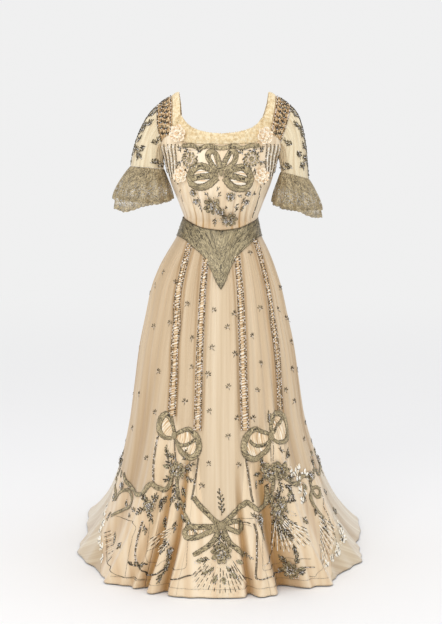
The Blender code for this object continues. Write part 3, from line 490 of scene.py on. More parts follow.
def skirt_point(bearing, height, fine=1.0):
    """The outer face of the skirt at a bearing in degrees and a height; fine is how much it is crimped."""
    bearing, height = np.asarray(bearing, float), np.asarray(height, float)
    share = (height - HIP_TOP) / (edge_height(BELT_TOP, bearing) - HIP_TOP)
    level = np.where(share > 0, HIP_TOP + share * (WAIST_HEIGHT - HIP_TOP), height)
    reader = straight if fine == 0 else column
    shape = [reader(SKIRT_RINGS, SKIRT_COLUMNS, name, level) for name in SKIRT_COLUMNS[1:]]
    x, y, out = ring(np.radians(bearing), *shape)
    lying = ease(np.abs((bearing + 180) % 360 - 180), 98, 130) * ease(-height, -0.26, -0.05)
    push = np.zeros_like(x)
    for turn, half_width, depth, starts_at in FOLDS:
        away = np.abs((bearing - turn + 180) % 360 - 180) / half_width
        hump = np.where(away < 1, 0.5 + 0.5 * np.cos(math.pi * np.clip(away, 0, 1)), 0)
        push = push + depth * hump * np.clip((starts_at - height) / starts_at, 0, 1) ** 1.3
    if fine:
        gathered = ease(-height, -0.97, -0.90)
        turn = (bearing + 0.6 * np.sin(5 * height)) / 360
        near_waist = crimp(turn, 11, 7, 70, 150) * 0.0011 * ease(height, 0.45, 0.85)
        hanging = crimp(turn, 23, 6, 34, 64) * 0.0019 * ease(-height, -0.98, -0.60)
        slow = crimp(turn + 0.02 * height, 37, 5, 14, 30) * 0.0016 * ease(-height, -0.90, -0.30)
        push = push + fine * gathered * (near_waist + hanging + slow)
    x = x + out[..., 0] * push * (1 - lying)
    y = y + out[..., 1] * push * (1 - lying)
    return np.stack([x, y, height + lying * np.clip(push, 0, None)], -1)


def way_out(point, bearing, height):
    """Unit normals of the skirt, and the ways along the ring and up."""
    step = 0.12
    beside = point(bearing + step, height) - point(bearing - step, height)
    up = point(bearing, height + 0.004) - point(bearing, height - 0.004)
    beside /= np.linalg.norm(beside, axis=-1, keepdims=True)
    normal = np.cross(beside, up)
    normal /= np.linalg.norm(normal, axis=-1, keepdims=True)
    return normal, beside


def seam(name, height):
    return np.interp(height, SEAM_HEIGHTS[::-1], SKIRT_SEAMS[name][::-1])


# %% [markdown]
# ### Where the chiffon ends
# The garland of lace tape follows the lower edge of the chiffon. On the front it was measured as places to
# the side of the middle and heights above the floor. Round the back it goes on in even swags.

# %% The chiffon's lower edge
FRONT_EDGE = (
    (-0.300, 0.330), (-0.282, 0.298), (-0.271, 0.275), (-0.254, 0.266), (-0.235, 0.257), (-0.218, 0.271),
    (-0.207, 0.287), (-0.192, 0.300), (-0.186, 0.420), (-0.160, 0.455), (-0.128, 0.465), (-0.100, 0.455),
    (-0.066, 0.425), (-0.070, 0.300), (-0.066, 0.262), (-0.049, 0.243), (-0.030, 0.222), (0.002, 0.206),
    (0.023, 0.220), (0.040, 0.237), (0.058, 0.253), (0.072, 0.290), (0.066, 0.425), (0.092, 0.450),
    (0.140, 0.465), (0.170, 0.465), (0.186, 0.420), (0.184, 0.312), (0.196, 0.297), (0.216, 0.286),
    (0.235, 0.304), (0.253, 0.294), (0.262, 0.330), (0.275, 0.345),
)
SWAG_TURN = 19.0


def chiffon(bearing, grid):
    """1 where chiffon covers the satin, 0 where the satin is bare."""
    x, height = grid[..., 0], grid[..., 2]
    pairs = np.array(sorted(FRONT_EDGE))
    front = np.interp(x, pairs[:, 0], pairs[:, 1])
    swag = 0.300 - 0.030 * np.abs(np.sin(math.pi * (np.abs(bearing) - 74) / SWAG_TURN))
    edge = np.where(np.abs(bearing) < 74, front, swag)
    return ease(height - edge, -0.006, 0.004)


# %% Skirt panels
SKIRT_PANELS = (
    ("skirt_back_right", "back", "right_back", 150),
    ("skirt_side_right", "right_back", "right_outer", 110),
    ("skirt_side_front_right", "right_outer", "right_inner", 84),
    ("skirt_front", "right_inner", "left_inner", 96),
    ("skirt_side_front_left", "left_inner", "left_outer", 96),
    ("skirt_side_left", "left_outer", "left_back", 100),
    ("skirt_back_left", "left_back", "back_again", 150),
)
SKIRT_ROWS = 84


def row_heights(bearing, v):
    """Heights of the rows, closer together near the floor where the train spreads."""
    heights = np.array([row[0] for row in SKIRT_RINGS])[2:]
    top = edge_height(BELT_TOP, bearing) - 0.002
    place = np.clip(v, 0, 1) * len(heights)
    level = np.interp(place, np.arange(1, len(heights) + 1), heights)
    return np.where(place < 1, top + (heights[0] - top) * place, level)


SEAM_GAP = 0.02
BANDED = ("right_outer", "right_inner", "left_inner", "left_outer")


def panel(first, last):
    def surface(u, v):
        middle = row_heights(np.zeros_like(u), v)
        start, end = seam(first, middle), seam(last, middle)
        bearing = start + SEAM_GAP + (end - start - 2 * SEAM_GAP) * u
        return skirt_point(bearing, row_heights(bearing, v))
    return surface


def panel_tone(first, last, is_train):
    def tone(u, v, grid):
        middle = row_heights(np.zeros_like(u), v)
        bearing = seam(first, middle) + (seam(last, middle) - seam(first, middle)) * u
        cover = chiffon(bearing, grid)
        ivory = np.full_like(cover, 1.0 if is_train else 0.0)
        depth = np.zeros_like(cover)
        for turn, half_width, fold_depth, starts_at in FOLDS:
            if fold_depth < 0:
                away = np.abs((bearing - turn + 180) % 360 - 180) / (half_width * 1.08)
                hump = np.where(away < 1, 0.5 + 0.5 * np.cos(math.pi * np.clip(away, 0, 1)), 0)
                depth = depth + hump * min(1, abs(fold_depth) / 0.03) * ease(starts_at - grid[..., 2], 0.0, 0.25)
        turned = (bearing + 180) % 360 - 180
        # A thin darker line about 15 mm from each banded seam, beside the band's edge.
        for name, edge in ((first, grid[:, :1]), (last, grid[:, -1:])):
            if name in BANDED:
                away = (np.linalg.norm(grid - edge, axis=-1) - 0.0150) / 0.0040
                depth = depth + 0.55 * np.exp(-away ** 2) * ease(grid[..., 2], 0.44, 0.50)
        # Painted shade: the skirt grows darker away from the front, more on the wearer's right side.
        side = 0.16 * ease(np.abs(turned), 5, 14) + np.where(turned < 0, 0.13, 0.02) * ease(np.abs(turned), 20, 50)
        return np.stack([cover, ivory, np.clip(0.85 * np.clip(depth, 0, 1) + side, 0, 0.95)], -1)
    return tone


skirt = {}
for name, first, last, columns in SKIRT_PANELS:
    is_train = "back" in name
    made = sheet(name + "_cloth", panel(first, last), columns, SKIRT_ROWS, SILK, turned=True,
                 tone=panel_tone(first, last, is_train))
    declare(made, [name])
    skirt[name] = made

# %% [markdown]
# ## The belt
# A wide band of the metallic lace is drawn round the waist and comes to a long point in front. It was
# gathered by hand, so soft ridges run down towards the point. The ridges are real, a millimetre high.

# %% Belt
def belt_tone(start, end):
    def tone(u, v, grid):
        """Dark along both rims, and darker towards the sides with painted shade."""
        side = 0.42 * ease(np.abs(start + (end - start) * u), 28, 66)
        return np.stack([0 * u, 0 * u, np.clip(side + 0.8 * np.abs(2 * v - 1) ** 16, 0, 1)], -1)
    return tone


def belt(start, end):
    def surface(u, v):
        bearing = start + (end - start) * u
        low = edge_height(BELT_LOWER, bearing)
        top = edge_height(BELT_TOP, bearing)
        height = low + (top - low) * v
        points = skirt_point(bearing, height, 0)
        normal, _ = way_out(lambda b, h: skirt_point(b, h, 0), bearing, height)
        slant = np.abs(bearing) / 90 * (1.25 - v) * 1.2 - v * 2.2 + 0.35 * crimp(bearing / 360, 5, 3, 4, 9)
        ridge = crimp(slant, 41, 4, 2.0, 4.5) + 0.6 * crimp(slant + bearing / 80, 43, 3, 3.0, 7.0)
        fade = ease(v, 0.0, 0.06) * ease(1 - v, 0.0, 0.06)
        rim = 0.0008 * (1 - fade)
        return points + normal * (0.0016 + 0.0008 * ridge * fade + rim)[..., None]
    return surface


for name, start, end, columns in (("belt_front", -89.9, 89.9, 180), ("belt_back", 90.1, 269.9, 100)):
    made = sheet(name + "_lace", belt(start, end), columns, 30, BELT_LACE, turned=True,
                 tone=belt_tone(start, end))
    declare(made, [name])

# %% [markdown]
# ## The bodice
# The front is soft satin under chiffon. It is gathered into the waist and pouches over the belt, so its
# pleats are close together at the belt and open towards the bow. The sides carry dark and pale stripes.

# %% Bodice
BODICE_COLUMNS = ("height", "side", "front", "back", "square")
BODICE_RINGS = (
    (0.990, 0.1055, 0.0930, 0.088, 2.0),
    (1.019, 0.1055, 0.0930, 0.088, 2.0),
    (1.036, 0.1065, 0.1050, 0.089, 2.0),
    (1.058, 0.1135, 0.1240, 0.091, 2.0),
    (1.090, 0.1260, 0.1400, 0.095, 2.1),
    (1.125, 0.1400, 0.1480, 0.100, 2.2),
    (1.165, 0.1520, 0.1490, 0.105, 2.2),
    (1.200, 0.1600, 0.1420, 0.108, 2.3),
    (1.235, 0.1730, 0.1310, 0.107, 2.4),
    (1.280, 0.1800, 0.1170, 0.100, 2.4),
)
PLEATS = 10


def bodice_point(bearing, height, pleated=0.0):
    """The outer face of the bodice at a bearing in degrees and a height."""
    side, front, back, square = (
        column(BODICE_RINGS, BODICE_COLUMNS, name, height) for name in BODICE_COLUMNS[1:]
    )
    x, y, out = ring(np.radians(bearing), side, side, front, back, 0.0, square, square)
    if pleated:
        over_belt = height - edge_height(BELT_TOP, bearing)
        fade = ease(over_belt, 0.0, 0.02) * ease(-height, -1.20, -1.08)
        turn = bearing / 116
        middle = ease(-np.abs(bearing), -56, -44)
        push = 0.0019 * np.cos(2 * math.pi * PLEATS * turn) * middle
        push = push + 0.0011 * crimp(turn, 51, 6, 16, 42)
        x, y = x + out[..., 0] * push * fade * pleated, y + out[..., 1] * push * fade * pleated
    return np.stack([x, y, height + 0 * x], -1)


def bodice(start, end, pleated):
    def surface(u, v):
        bearing = start + (end - start) * (0.0008 + 0.9984 * u)
        bottom = edge_height(BELT_TOP, bearing) + 0.0009
        top = edge_height(TOP_EDGE, bearing)
        return bodice_point(bearing, bottom + (top - bottom) * v, pleated)
    return surface


def bodice_tone(start, end):
    def tone(u, v, grid):
        """Chiffon over most of it, with brown shade between the pleats and where it tucks into the belt."""
        turn = (start + (end - start) * u) / 116
        valley = ease(np.abs(start + (end - start) * u), 6, 30) * np.clip(-np.cos(2 * math.pi * PLEATS * turn) - 0.45 + 0.30 * crimp(turn, 53, 4, 9, 30), 0, 1)
        low = ease(-grid[..., 2], -1.13, -1.05)
        shade = 0.45 * ease(-grid[..., 2], -1.06, -1.00) + 1.1 * valley * low
        return np.stack([np.full_like(u, 0.10), np.zeros_like(u), np.clip(shade, 0, 1)], -1)
    return tone


BODICE_PANELS = (
    ("bodice_back_right", -180, -90, 70, 0.6),
    ("bodice_side_right", -90, -58, 30, 0.3),
    ("bodice_front", -58, 58, 150, 1.0),
    ("bodice_side_left", 58, 90, 30, 0.3),
    ("bodice_back_left", 90, 180, 70, 0.6),
)
for name, start, end, columns, pleated in BODICE_PANELS:
    made = sheet(name + "_cloth", bodice(start, end, pleated), columns, 52, SILK, tone=bodice_tone(start, end))
    declare(made, [name])

# %% [markdown]
# ## Straps, sleeves and flounces
# Each strap runs over the shoulder between the neck edge and the sleeve. The sleeve is fine net from the
# shoulder to above the elbow. Its flounce is gathered lace, which hangs in uneven waves and shows light
# through the net in its lower middle.

# %% Straps
STRAP_ROWS = (
    (0.140, -0.083, 1.300, 0.180, -0.049, 1.287),
    (0.144, -0.055, 1.342, 0.187, -0.036, 1.325),
    (0.147, -0.018, 1.372, 0.190, -0.012, 1.344),
    (0.147, 0.018, 1.372, 0.190, 0.016, 1.344),
    (0.144, 0.050, 1.344, 0.187, 0.038, 1.326),
    (0.140, 0.072, 1.304, 0.180, 0.052, 1.290),
)
STRAP_STEPS = 14
FRONT_CORNERS = (46, 72)
BACK_CORNERS = (134, 108)


def strap_edges(side):
    """Inner and outer edges of one strap, from the front corner over the shoulder to the back corner."""
    edges = []
    for which in (0, 1):
        line = []
        for corners in (FRONT_CORNERS, BACK_CORNERS):
            line.append(bodice_point(corners[which], edge_height(TOP_EDGE, corners[which])))
        middle = [np.array(row[3 * which:3 * which + 3]) for row in STRAP_ROWS]
        edge = np.array([line[0], *middle, line[1]])
        edge[:, 0] = side * edge[:, 0] + 0.008 * ease(edge[:, 2], 1.26, 1.35)
        edges.append(edge)
    return edges


def strap(side):
    inner, outer = strap_edges(side)
    middle = np.array([side * 0.150, 0.0, 1.25])

    def plain(u, v):
        near, far = along(inner, v), along(outer, v)
        across = near + (far - near) * u[..., None]
        away = across - middle
        away /= np.linalg.norm(away, axis=-1, keepdims=True)
        return across + away * (0.003 * 4 * u * (1 - u))[..., None]

    def surface(u, v):
        points = plain(u, v)
        for end, corners in ((0, FRONT_CORNERS), (1, BACK_CORNERS)):
            bearing = corners[0] + (corners[1] - corners[0]) * u
            edge = bodice_point(side * bearing, edge_height(TOP_EDGE, bearing)) + np.array([0, 0, 0.0012])
            reach = 1 - ease(np.abs(v - end), 0, 0.3)
            points = points + reach[..., None] * (edge - plain(u, np.full_like(v, end)))
        return points
    return surface


for label, side in (("right", -1), ("left", 1)):
    name = "shoulder_strap_" + label
    made = sheet(name + "_cloth", strap(side), 14, 7 * STRAP_STEPS, GOLD_GROUND, turned=side < 0)
    declare(made, [name])

# %% Sleeves and flounces
# Columns: name, side, then x, y, height, half width, half depth and slope of the cuff.
SLEEVES = (
    ("right", -1, 0.2095, -0.004, 1.174, 0.0465, 0.054, 0.004),
    ("left", 1, 0.2095, -0.004, 1.152, 0.0390, 0.050, -0.010),
)
FLOUNCE_EDGE = {
    "right": ((0, 0.073, 1.088), (45, 0.080, 1.076), (90, 0.086, 1.066), (125, 0.096, 1.050),
              (150, 0.094, 1.060), (180, 0.088, 1.090), (225, 0.088, 1.080), (270, 0.084, 1.072),
              (315, 0.080, 1.078), (360, 0.073, 1.088)),
    "left": ((0, 0.064, 1.080), (45, 0.074, 1.066), (90, 0.080, 1.052), (125, 0.082, 1.034),
             (150, 0.076, 1.034), (180, 0.068, 1.058), (225, 0.080, 1.052), (270, 0.080, 1.050),
             (315, 0.074, 1.062), (360, 0.064, 1.080)),
}
FLOUNCE_WAVES = 12


def armhole(side):
    """The sleeve's seam as a closed line from the underarm over the front, the shoulder and the back."""
    def part(first, last):
        turns = np.linspace(first, last, 7)
        return bodice_point(side * turns, edge_height(TOP_EDGE, turns))
    over = along(strap_edges(side)[1], np.linspace(0, 1, 15))
    return np.concatenate([part(90, 72)[:-1], over, part(108, 90)[1:]])


def at_length(line, place):
    """Points of a line at these shares of its length."""
    steps = np.linalg.norm(np.diff(line, axis=0), axis=1)
    reached = np.concatenate([[0], np.cumsum(steps)]) / steps.sum()
    return np.stack([np.interp(place % 1.0, reached, line[:, axis]) for axis in range(3)], -1)


def cuff(row, place, drop=0.0):
    """The ring at the sleeve's end, from its inner side over the front."""
    _, side, x, y, height, half_x, half_y, slope = row
    turn = 2 * math.pi * place
    return np.stack([side * (x - half_x * np.cos(turn)), y - half_y * np.sin(turn),
                     height - slope * np.cos(turn) - drop + 0 * turn], -1)


def sleeve(row):
    side = row[1]
    seam_line = armhole(side)
    out = np.array([side * 0.80, 0.0, -0.60])
    up = np.array([-side * 0.10, 0.0, 0.99])

    def surface(u, v):
        start = at_length(seam_line, u) + 0.0009 * out
        end = cuff(row, u)
        reach = np.linalg.norm(end - start, axis=-1, keepdims=True)
        first, second = start + out * reach * 0.24, end + up * reach * 0.33
        wide = v[..., None]
        w = 1 - wide
        points = w ** 3 * start + 3 * w * w * wide * first + 3 * w * wide * wide * second + wide ** 3 * end
        angle = 2 * math.pi * u
        radial = np.stack([-side * np.cos(angle), -np.sin(angle), 0 * angle], -1)
        folds = 0.0009 * crimp(u + 0.05 * v, 61, 6, 9, 24) * ease(v, 0.0, 0.3)
        return points + radial * folds[..., None]
    return surface


def flounce(row):
    name, side = row[0], row[1]
    reach = [(turn, out) for turn, out, _ in FLOUNCE_EDGE[name]]
    level = [(turn, height) for turn, _, height in FLOUNCE_EDGE[name]]

    def surface(u, v):
        turn = 360 * (u % 1.0)
        top = cuff(row, u % 1.0, 0.0005)
        wide = soft(reach, turn)
        angle = np.radians(turn)
        low = np.stack([side * (row[2] + 0.006) - side * wide * np.cos(angle),
                        row[3] - wide * np.sin(angle), soft(level, turn)], -1)
        flare = 1 - (1 - v) ** 1.6
        points = top + (low - top) * np.stack([flare, flare, v], -1)
        radial = np.stack([-side * np.cos(angle), -np.sin(angle), 0 * angle], -1)
        wave = 0.0062 * (0.18 + 0.82 * v) * v ** 0.35 * np.cos(2 * math.pi * FLOUNCE_WAVES * u)
        wave = wave + 0.0025 * v * np.cos(2 * math.pi * 6 * u + 1.0)
        wave = wave + 0.0016 * np.sin(2 * math.pi * 41 * u) * ease(0.5 - v, 0.0, 0.5)
        wave = wave + 0.0012 * np.sin(2 * math.pi * 29 * u + 2.0) * ease(v, 0.1, 0.8)
        scallop = 0.0022 * np.abs(np.sin(math.pi * 42 * u)) * ease(v, 0.90, 1.0)
        points = points + radial * wave[..., None]
        points[..., 2] -= scallop
        return points
    return surface


def flounce_tone(u, v, grid):
    """The net opens in the lower middle and closes at the patterned edge."""
    opened = ease(v, 0.30, 0.55) * ease(0.93 - v, 0.0, 0.12)
    return np.stack([opened, 0 * u, 0 * u], -1)


for row in SLEEVES:
    label, left = row[0], row[1] > 0
    made = sheet("sleeve_" + label + "_net", sleeve(row), 110, 48, NET, turned=left, closed=True, wall=0)
    declare(made, ["sleeve_" + label])
    made = sheet("flounce_" + label + "_lace", flounce(row), 330, 26, FLOUNCE_LACE, turned=left, closed=True,
                 wall=0, tone=flounce_tone)
    declare(made, ["flounce_" + label])

# %% [markdown]
# ## The neck frill
# A fluffy frill of pleated cream chiffon stands along the neck and runs up the inner edge of each strap.
# Its softness comes from many tiny, uneven ruffles in three rows, and from a material with no gloss.

# %% Neck frill
def frill_line(front):
    """The foot of one half of the frill, from strap top to strap top."""
    first, last = (-46, 46) if front else (134, 226)
    turns = np.linspace(first, last, 25)
    turns = np.where(turns > 180, turns - 360, turns)
    edge = bodice_point(turns, edge_height(TOP_EDGE, turns))
    straps = {side: along(strap_edges(side)[0], np.linspace(0, 1, 15)) for side in (-1, 1)}
    if front:
        return np.concatenate([straps[-1][1:8][::-1], edge, straps[1][1:8]])
    return np.concatenate([straps[1][7:-1], edge, straps[-1][7:-1][::-1]])


NECK_LOW = float(edge_height(TOP_EDGE, 0)) + 0.029
NECK_CURVE = ((0, 0.034, 0.060, 0.079, 0.094, 0.101, 0.111), (0, 0.003, 0.009, 0.017, 0.029, 0.038, 0.051))


def frill(front):
    line = frill_line(front)

    def surface(u, v):
        foot = at_length(line, 0.0008 + u * 0.9984)
        share = np.abs(foot[..., 0]) / 0.135
        corner, high = ease(share, 0.45, 1.0), ease(foot[..., 2], 1.27, 1.36)
        inward = -np.sign(foot[..., 0]) * (0.024 * corner - 0.004 * high)
        clear = -np.sign(foot[..., 0]) * 0.0012 * ease(share, 0.9, 1.0)
        rise = 0.029 - 0.012 * corner - 0.008 * high
        if front:
            aside = np.abs(foot[..., 0] + inward) / np.where(foot[..., 0] > 0, 1.08, 1.0)
            rise = np.maximum(rise, NECK_LOW + np.interp(aside, *NECK_CURVE) - foot[..., 2])
        outside = np.where(foot[..., 1] < 0, -1, 1) * (1 - high)
        puff = 0.0052 * np.sin(math.pi * v) * outside
        ruffle = 0.0011 * (0.4 + 0.6 * v) * crimp(u + 0.004 * np.sin(9 * v), 71, 6, 70, 150)
        rows = 0.0010 * np.cos(2 * math.pi * 3 * v + 2.5 * crimp(u, 73, 4, 20, 50))
        tip = 0.0011 * crimp(u, 75, 5, 60, 120) * ease(v, 0.6, 1.0)
        return foot + np.stack([
            inward * v + clear,
            -0.004 * outside * v + puff + outside * (ruffle + rows),
            0.0011 + rise * v + 0.003 * np.sin(math.pi * v) * high + high * (ruffle + rows) + tip,
        ], -1)
    return surface


for name, front in (("neck_frill_front", True), ("neck_frill_back", False)):
    made = sheet(name + "_chiffon", frill(front), 400, 14, FRILL)
    declare(made, [name])

# %% [markdown]
# ## Where a trimming lies
# Bands, tapes, beads and leaves are sewn flat on the cloth. Each one is placed by a bearing and a height on
# the surface below it, as a needle would find it. The front ornament was measured as seen from in front, so
# a place to the side is first turned into the bearing of the cloth that shows there.

# %% Places on a surface
def unit(vectors):
    return vectors / np.linalg.norm(vectors, axis=-1, keepdims=True)


def skirt_ground(bearing, height):
    return skirt_point(bearing, height)


def bodice_ground(bearing, height):
    return bodice_point(bearing, height, 1.0)


def spots(ground, a, b, reach=(0.12, 0.004), turn=1, rise=1):
    """Places on a ground: the point, the ways to the right, up and out, and metres per step of a and b."""
    a, b = np.broadcast_arrays(np.asarray(a, float), np.asarray(b, float))
    over = ground(a + reach[0], b) - ground(a - reach[0], b)
    rising = ground(a, b + reach[1]) - ground(a, b - reach[1])
    normal = unit(np.cross(over * turn, rising * rise))
    up = unit(rising * rise)
    right = np.cross(up, normal)
    steps = np.stack([np.linalg.norm(over, axis=-1) / (2 * reach[0]),
                      np.linalg.norm(rising, axis=-1) / (2 * reach[1])], -1)
    point = ground(a, b) - np.array([0, 0, SHOULDER_HEIGHT])
    return point, right, up, normal, steps


LOOK = np.arange(-112.0, 112.01, 0.25)


def bearing_of(ground, x, height):
    """The bearing of the cloth that shows at x and height when the dress is seen from in front."""
    found = []
    for side_way, level in zip(np.ravel(x), np.ravel(height)):
        line = ground(LOOK, np.full_like(LOOK, level))
        before, after = line[:-1, 0], line[1:, 0]
        crossing = np.nonzero((before - side_way) * (after - side_way) <= 0)[0]
        if len(crossing):
            nearest = crossing[np.argmin(line[crossing, 1])]
            share = (side_way - before[nearest]) / (after[nearest] - before[nearest] + 1e-12)
            found.append(LOOK[nearest] + 0.25 * share)
        else:
            found.append(LOOK[np.argmin(np.abs(line[:, 0] - side_way))])
    return np.array(found).reshape(np.shape(x))


def on_cloth(ground, path):
    """A path of places seen in front, as bearings and heights."""
    path = np.asarray(path, float)
    return np.stack([bearing_of(ground, path[:, 0], path[:, 1]), path[:, 1]], -1)


def paced(ground, path, step):
    """Bearings and heights at even steps of real length along a soft curve."""
    fine = along(path, np.linspace(0, 1, 30 * len(path)))
    line = ground(fine[:, 0], fine[:, 1])
    reached = np.concatenate([[0], np.cumsum(np.linalg.norm(np.diff(line, axis=0), axis=1))])
    count = max(2, int(round(reached[-1] / step)))
    wanted = np.linspace(0, reached[-1], count + 1)
    return np.stack([np.interp(wanted, reached, fine[:, i]) for i in (0, 1)], -1)


# %% [markdown]
# ## Beaded insertion bands
# Over the four front seams lies a ribbon that is drawn up into small puffs. A double row of little beads,
# some dark and some silver, edges it. The ribbon is a narrow sheet with a puff every seven millimetres. Its
# colour is painted light and shade: a pale painted highlight on top of each puff, and a painted brown shadow
# parting it from the next.

# %% Insertion bands
INSERTION_BANDS = (
    ("insertion_band_outer_right", "right_outer", 0.962, 0.490, 0.0085, 0.0150),
    ("insertion_band_inner_right", "right_inner", 0.922, 0.455, 0.0085, 0.0120),
    ("insertion_band_inner_left", "left_inner", 0.928, 0.455, 0.0085, 0.0120),
    ("insertion_band_outer_left", "left_outer", 0.974, 0.500, 0.0085, 0.0120),
)
PUFF = 0.0070


def band_place(row, u, v):
    """Bearing and height at a share across and a share down one band."""
    _, line, top, bottom, half_top, half_bottom = row
    height = top + (bottom - top) * v
    middle = seam(line, height)
    half = half_top + (half_bottom - half_top) * v
    metres = spots(skirt_ground, middle, height)[4][..., 0]
    return middle + (2 * u - 1) * half / metres, height


def puffing(row, u, v):
    """How far each puff has risen: an uneven, slanting wave down the band."""
    down = v * (row[2] - row[3]) / PUFF + 0.7 * (u - 0.5) + 0.45 * crimp(v, len(row[0]), 3, 8, 30)
    return np.abs(np.sin(math.pi * down)) ** 0.8


def band(row):
    def surface(u, v):
        bearing, height = band_place(row, u, v)
        point, _, _, normal, _ = spots(skirt_ground, bearing, height)
        puff = puffing(row, u, v) * (1 - (2 * u - 1) ** 4)
        lifted = point + normal * (0.0012 + 0.0016 * puff)[..., None]
        return lifted + np.array([0, 0, SHOULDER_HEIGHT])
    return surface


def puff_light_and_shade(row):
    def tone(u, v, grid):
        # Painted highlight on the top of each puff, brighter or dimmer at random, and painted shadow between puffs.
        light = 0.66 + 0.34 * crimp(v * 70 + 1.5 * u, 7, 3, 0.4, 1.1)
        return np.stack([np.clip(puffing(row, u, v) * light * (1 - (2 * u - 1) ** 6), 0, 1), 0 * u, 0 * u], -1)
    return tone


def ribbon_finish():
    recipe = Recipe("ribbon_satin", Roughness=0.34)
    tone = recipe.add("Attribute", {"attribute_name": "tone"}).outputs["Color"]
    pale = recipe.add("SeparateColor", Color=tone).outputs["Red"]
    # The ramp turns the painted light into colour: brown shadow, golden middle, near-white highlight.
    recipe.to("Base Color", recipe.ramp(pale, ((0.10, (0.40, 0.24, 0.11)), (0.45, (0.68, 0.47, 0.25)),
                                               (0.86, (0.95, 0.87, 0.72)))))
    return recipe.material


RIBBON = ribbon_finish()
for row in INSERTION_BANDS:
    made = sheet(row[0] + "_ribbon", band(row), 12, 300, RIBBON, turned=True, wall=0, tone=puff_light_and_shade(row))
    declare(made, [row[0]])

# %% [markdown]
# ## Lace tape: bows and garlands
# A narrow metallic tape is looped into bows and led on as a garland along the chiffon's edge. Sewn round a
# curve it puckers, so it has a small ridge every few millimetres and a scalloped rim. Each tape is one
# sheet on its path. The paths were drawn for this dress after its bow-knots, a common ornament.

# %% A tape
PUCKER = 0.0088
TAPE_STEP = 0.0016


def tape(name, ground, path, half_width, nodes=(), lift=0.0010, ends=0.0, swell=0.0):
    """Lays a tape along a path; it can narrow at its ends, or swell where a loop is widest."""
    line = paced(ground, path, TAPE_STEP)
    rows = len(line) - 1

    def surface(u, v):
        place = np.interp(v, np.linspace(0, 1, rows + 1), np.arange(rows + 1))
        first = np.clip(place.astype(int), 0, rows)
        bearing, height = line[first, 0], line[first, 1]
        point, right, up, normal, steps = spots(ground, bearing, height)
        way = np.gradient(point[:, 0], axis=0)
        way = unit(way)[:, None, :] + 0 * point
        across = unit(np.cross(normal, way))
        run = v * rows * TAPE_STEP
        narrow = 1 - ends * (1 - ease(np.minimum(v, 1 - v), 0.0, 0.12))
        narrow = narrow + swell * (np.sin(math.pi * v) ** 1.5 - 0.35)
        half = half_width * narrow * (0.94 + 0.13 * np.abs(np.sin(math.pi * run / PUCKER)))
        shift = (2 * u - 1) * half
        to_right, to_up = np.sum(across * right, -1) * shift, np.sum(across * up, -1) * shift
        point, _, _, normal, _ = spots(ground, bearing + to_right / steps[..., 0],
                                       height + to_up / steps[..., 1])
        fold = np.sin(2 * math.pi * (run / PUCKER + 0.35 * (2 * u - 1)))
        middle = 1 - (2 * u - 1) ** 2
        thick = lift + 0.0007 * middle + 0.0009 * (1 + fold) * (0.35 + 0.65 * middle)
        return point + normal * thick[..., None] + np.array([0, 0, SHOULDER_HEIGHT])

    made = sheet(name, surface, 6, rows, TAPE_LACE, turned=True, wall=0,
                 tone=lambda u, v, grid: np.stack([0 * u, 0 * u, np.abs(2 * u - 1) ** 6], -1))
    declare(made, nodes)
    return made


BODICE_BOW = (
    ("bodice_bow_upper_right", 0.0076, ((-0.006, 1.161), (-0.019, 1.173), (-0.029, 1.188), (-0.036, 1.204),
                                        (-0.028, 1.217), (-0.016, 1.211), (-0.009, 1.194), (-0.003, 1.172))),
    ("bodice_bow_upper_left", 0.0076, ((0.003, 1.164), (0.009, 1.183), (0.018, 1.202), (0.029, 1.218),
                                       (0.040, 1.210), (0.038, 1.192), (0.025, 1.176), (0.010, 1.163))),
    ("bodice_bow_lower_right", 0.0098, ((-0.010, 1.157), (-0.033, 1.170), (-0.057, 1.177), (-0.077, 1.166),
                                        (-0.086, 1.146), (-0.080, 1.127), (-0.059, 1.119), (-0.034, 1.126),
                                        (-0.010, 1.147))),
    ("bodice_bow_lower_left", 0.0098, ((0.010, 1.157), (0.033, 1.168), (0.058, 1.173), (0.075, 1.161),
                                       (0.081, 1.141), (0.073, 1.121), (0.051, 1.115), (0.028, 1.123),
                                       (0.010, 1.146))),
)
SKIRT_BOWS = (
    ("skirt_bow_right_upper", 0.0064, ((-0.127, 0.440), (-0.133, 0.466), (-0.143, 0.489), (-0.157, 0.491),
                                       (-0.170, 0.472), (-0.171, 0.448), (-0.157, 0.430), (-0.136, 0.428))),
    ("skirt_bow_right_lower", 0.0066, ((-0.124, 0.441), (-0.108, 0.451), (-0.088, 0.456), (-0.069, 0.441),
                                       (-0.060, 0.417), (-0.065, 0.394), (-0.084, 0.380), (-0.107, 0.393),
                                       (-0.124, 0.425))),
    ("skirt_bow_left_lower", 0.0066, ((0.136, 0.437), (0.113, 0.448), (0.092, 0.456), (0.071, 0.439),
                                      (0.062, 0.411), (0.070, 0.386), (0.093, 0.374), (0.117, 0.388),
                                      (0.136, 0.420))),
    ("skirt_bow_left_upper", 0.0064, ((0.140, 0.440), (0.139, 0.466), (0.147, 0.491), (0.166, 0.489),
                                      (0.181, 0.468), (0.186, 0.436), (0.181, 0.415), (0.161, 0.413),
                                      (0.144, 0.424))),
)
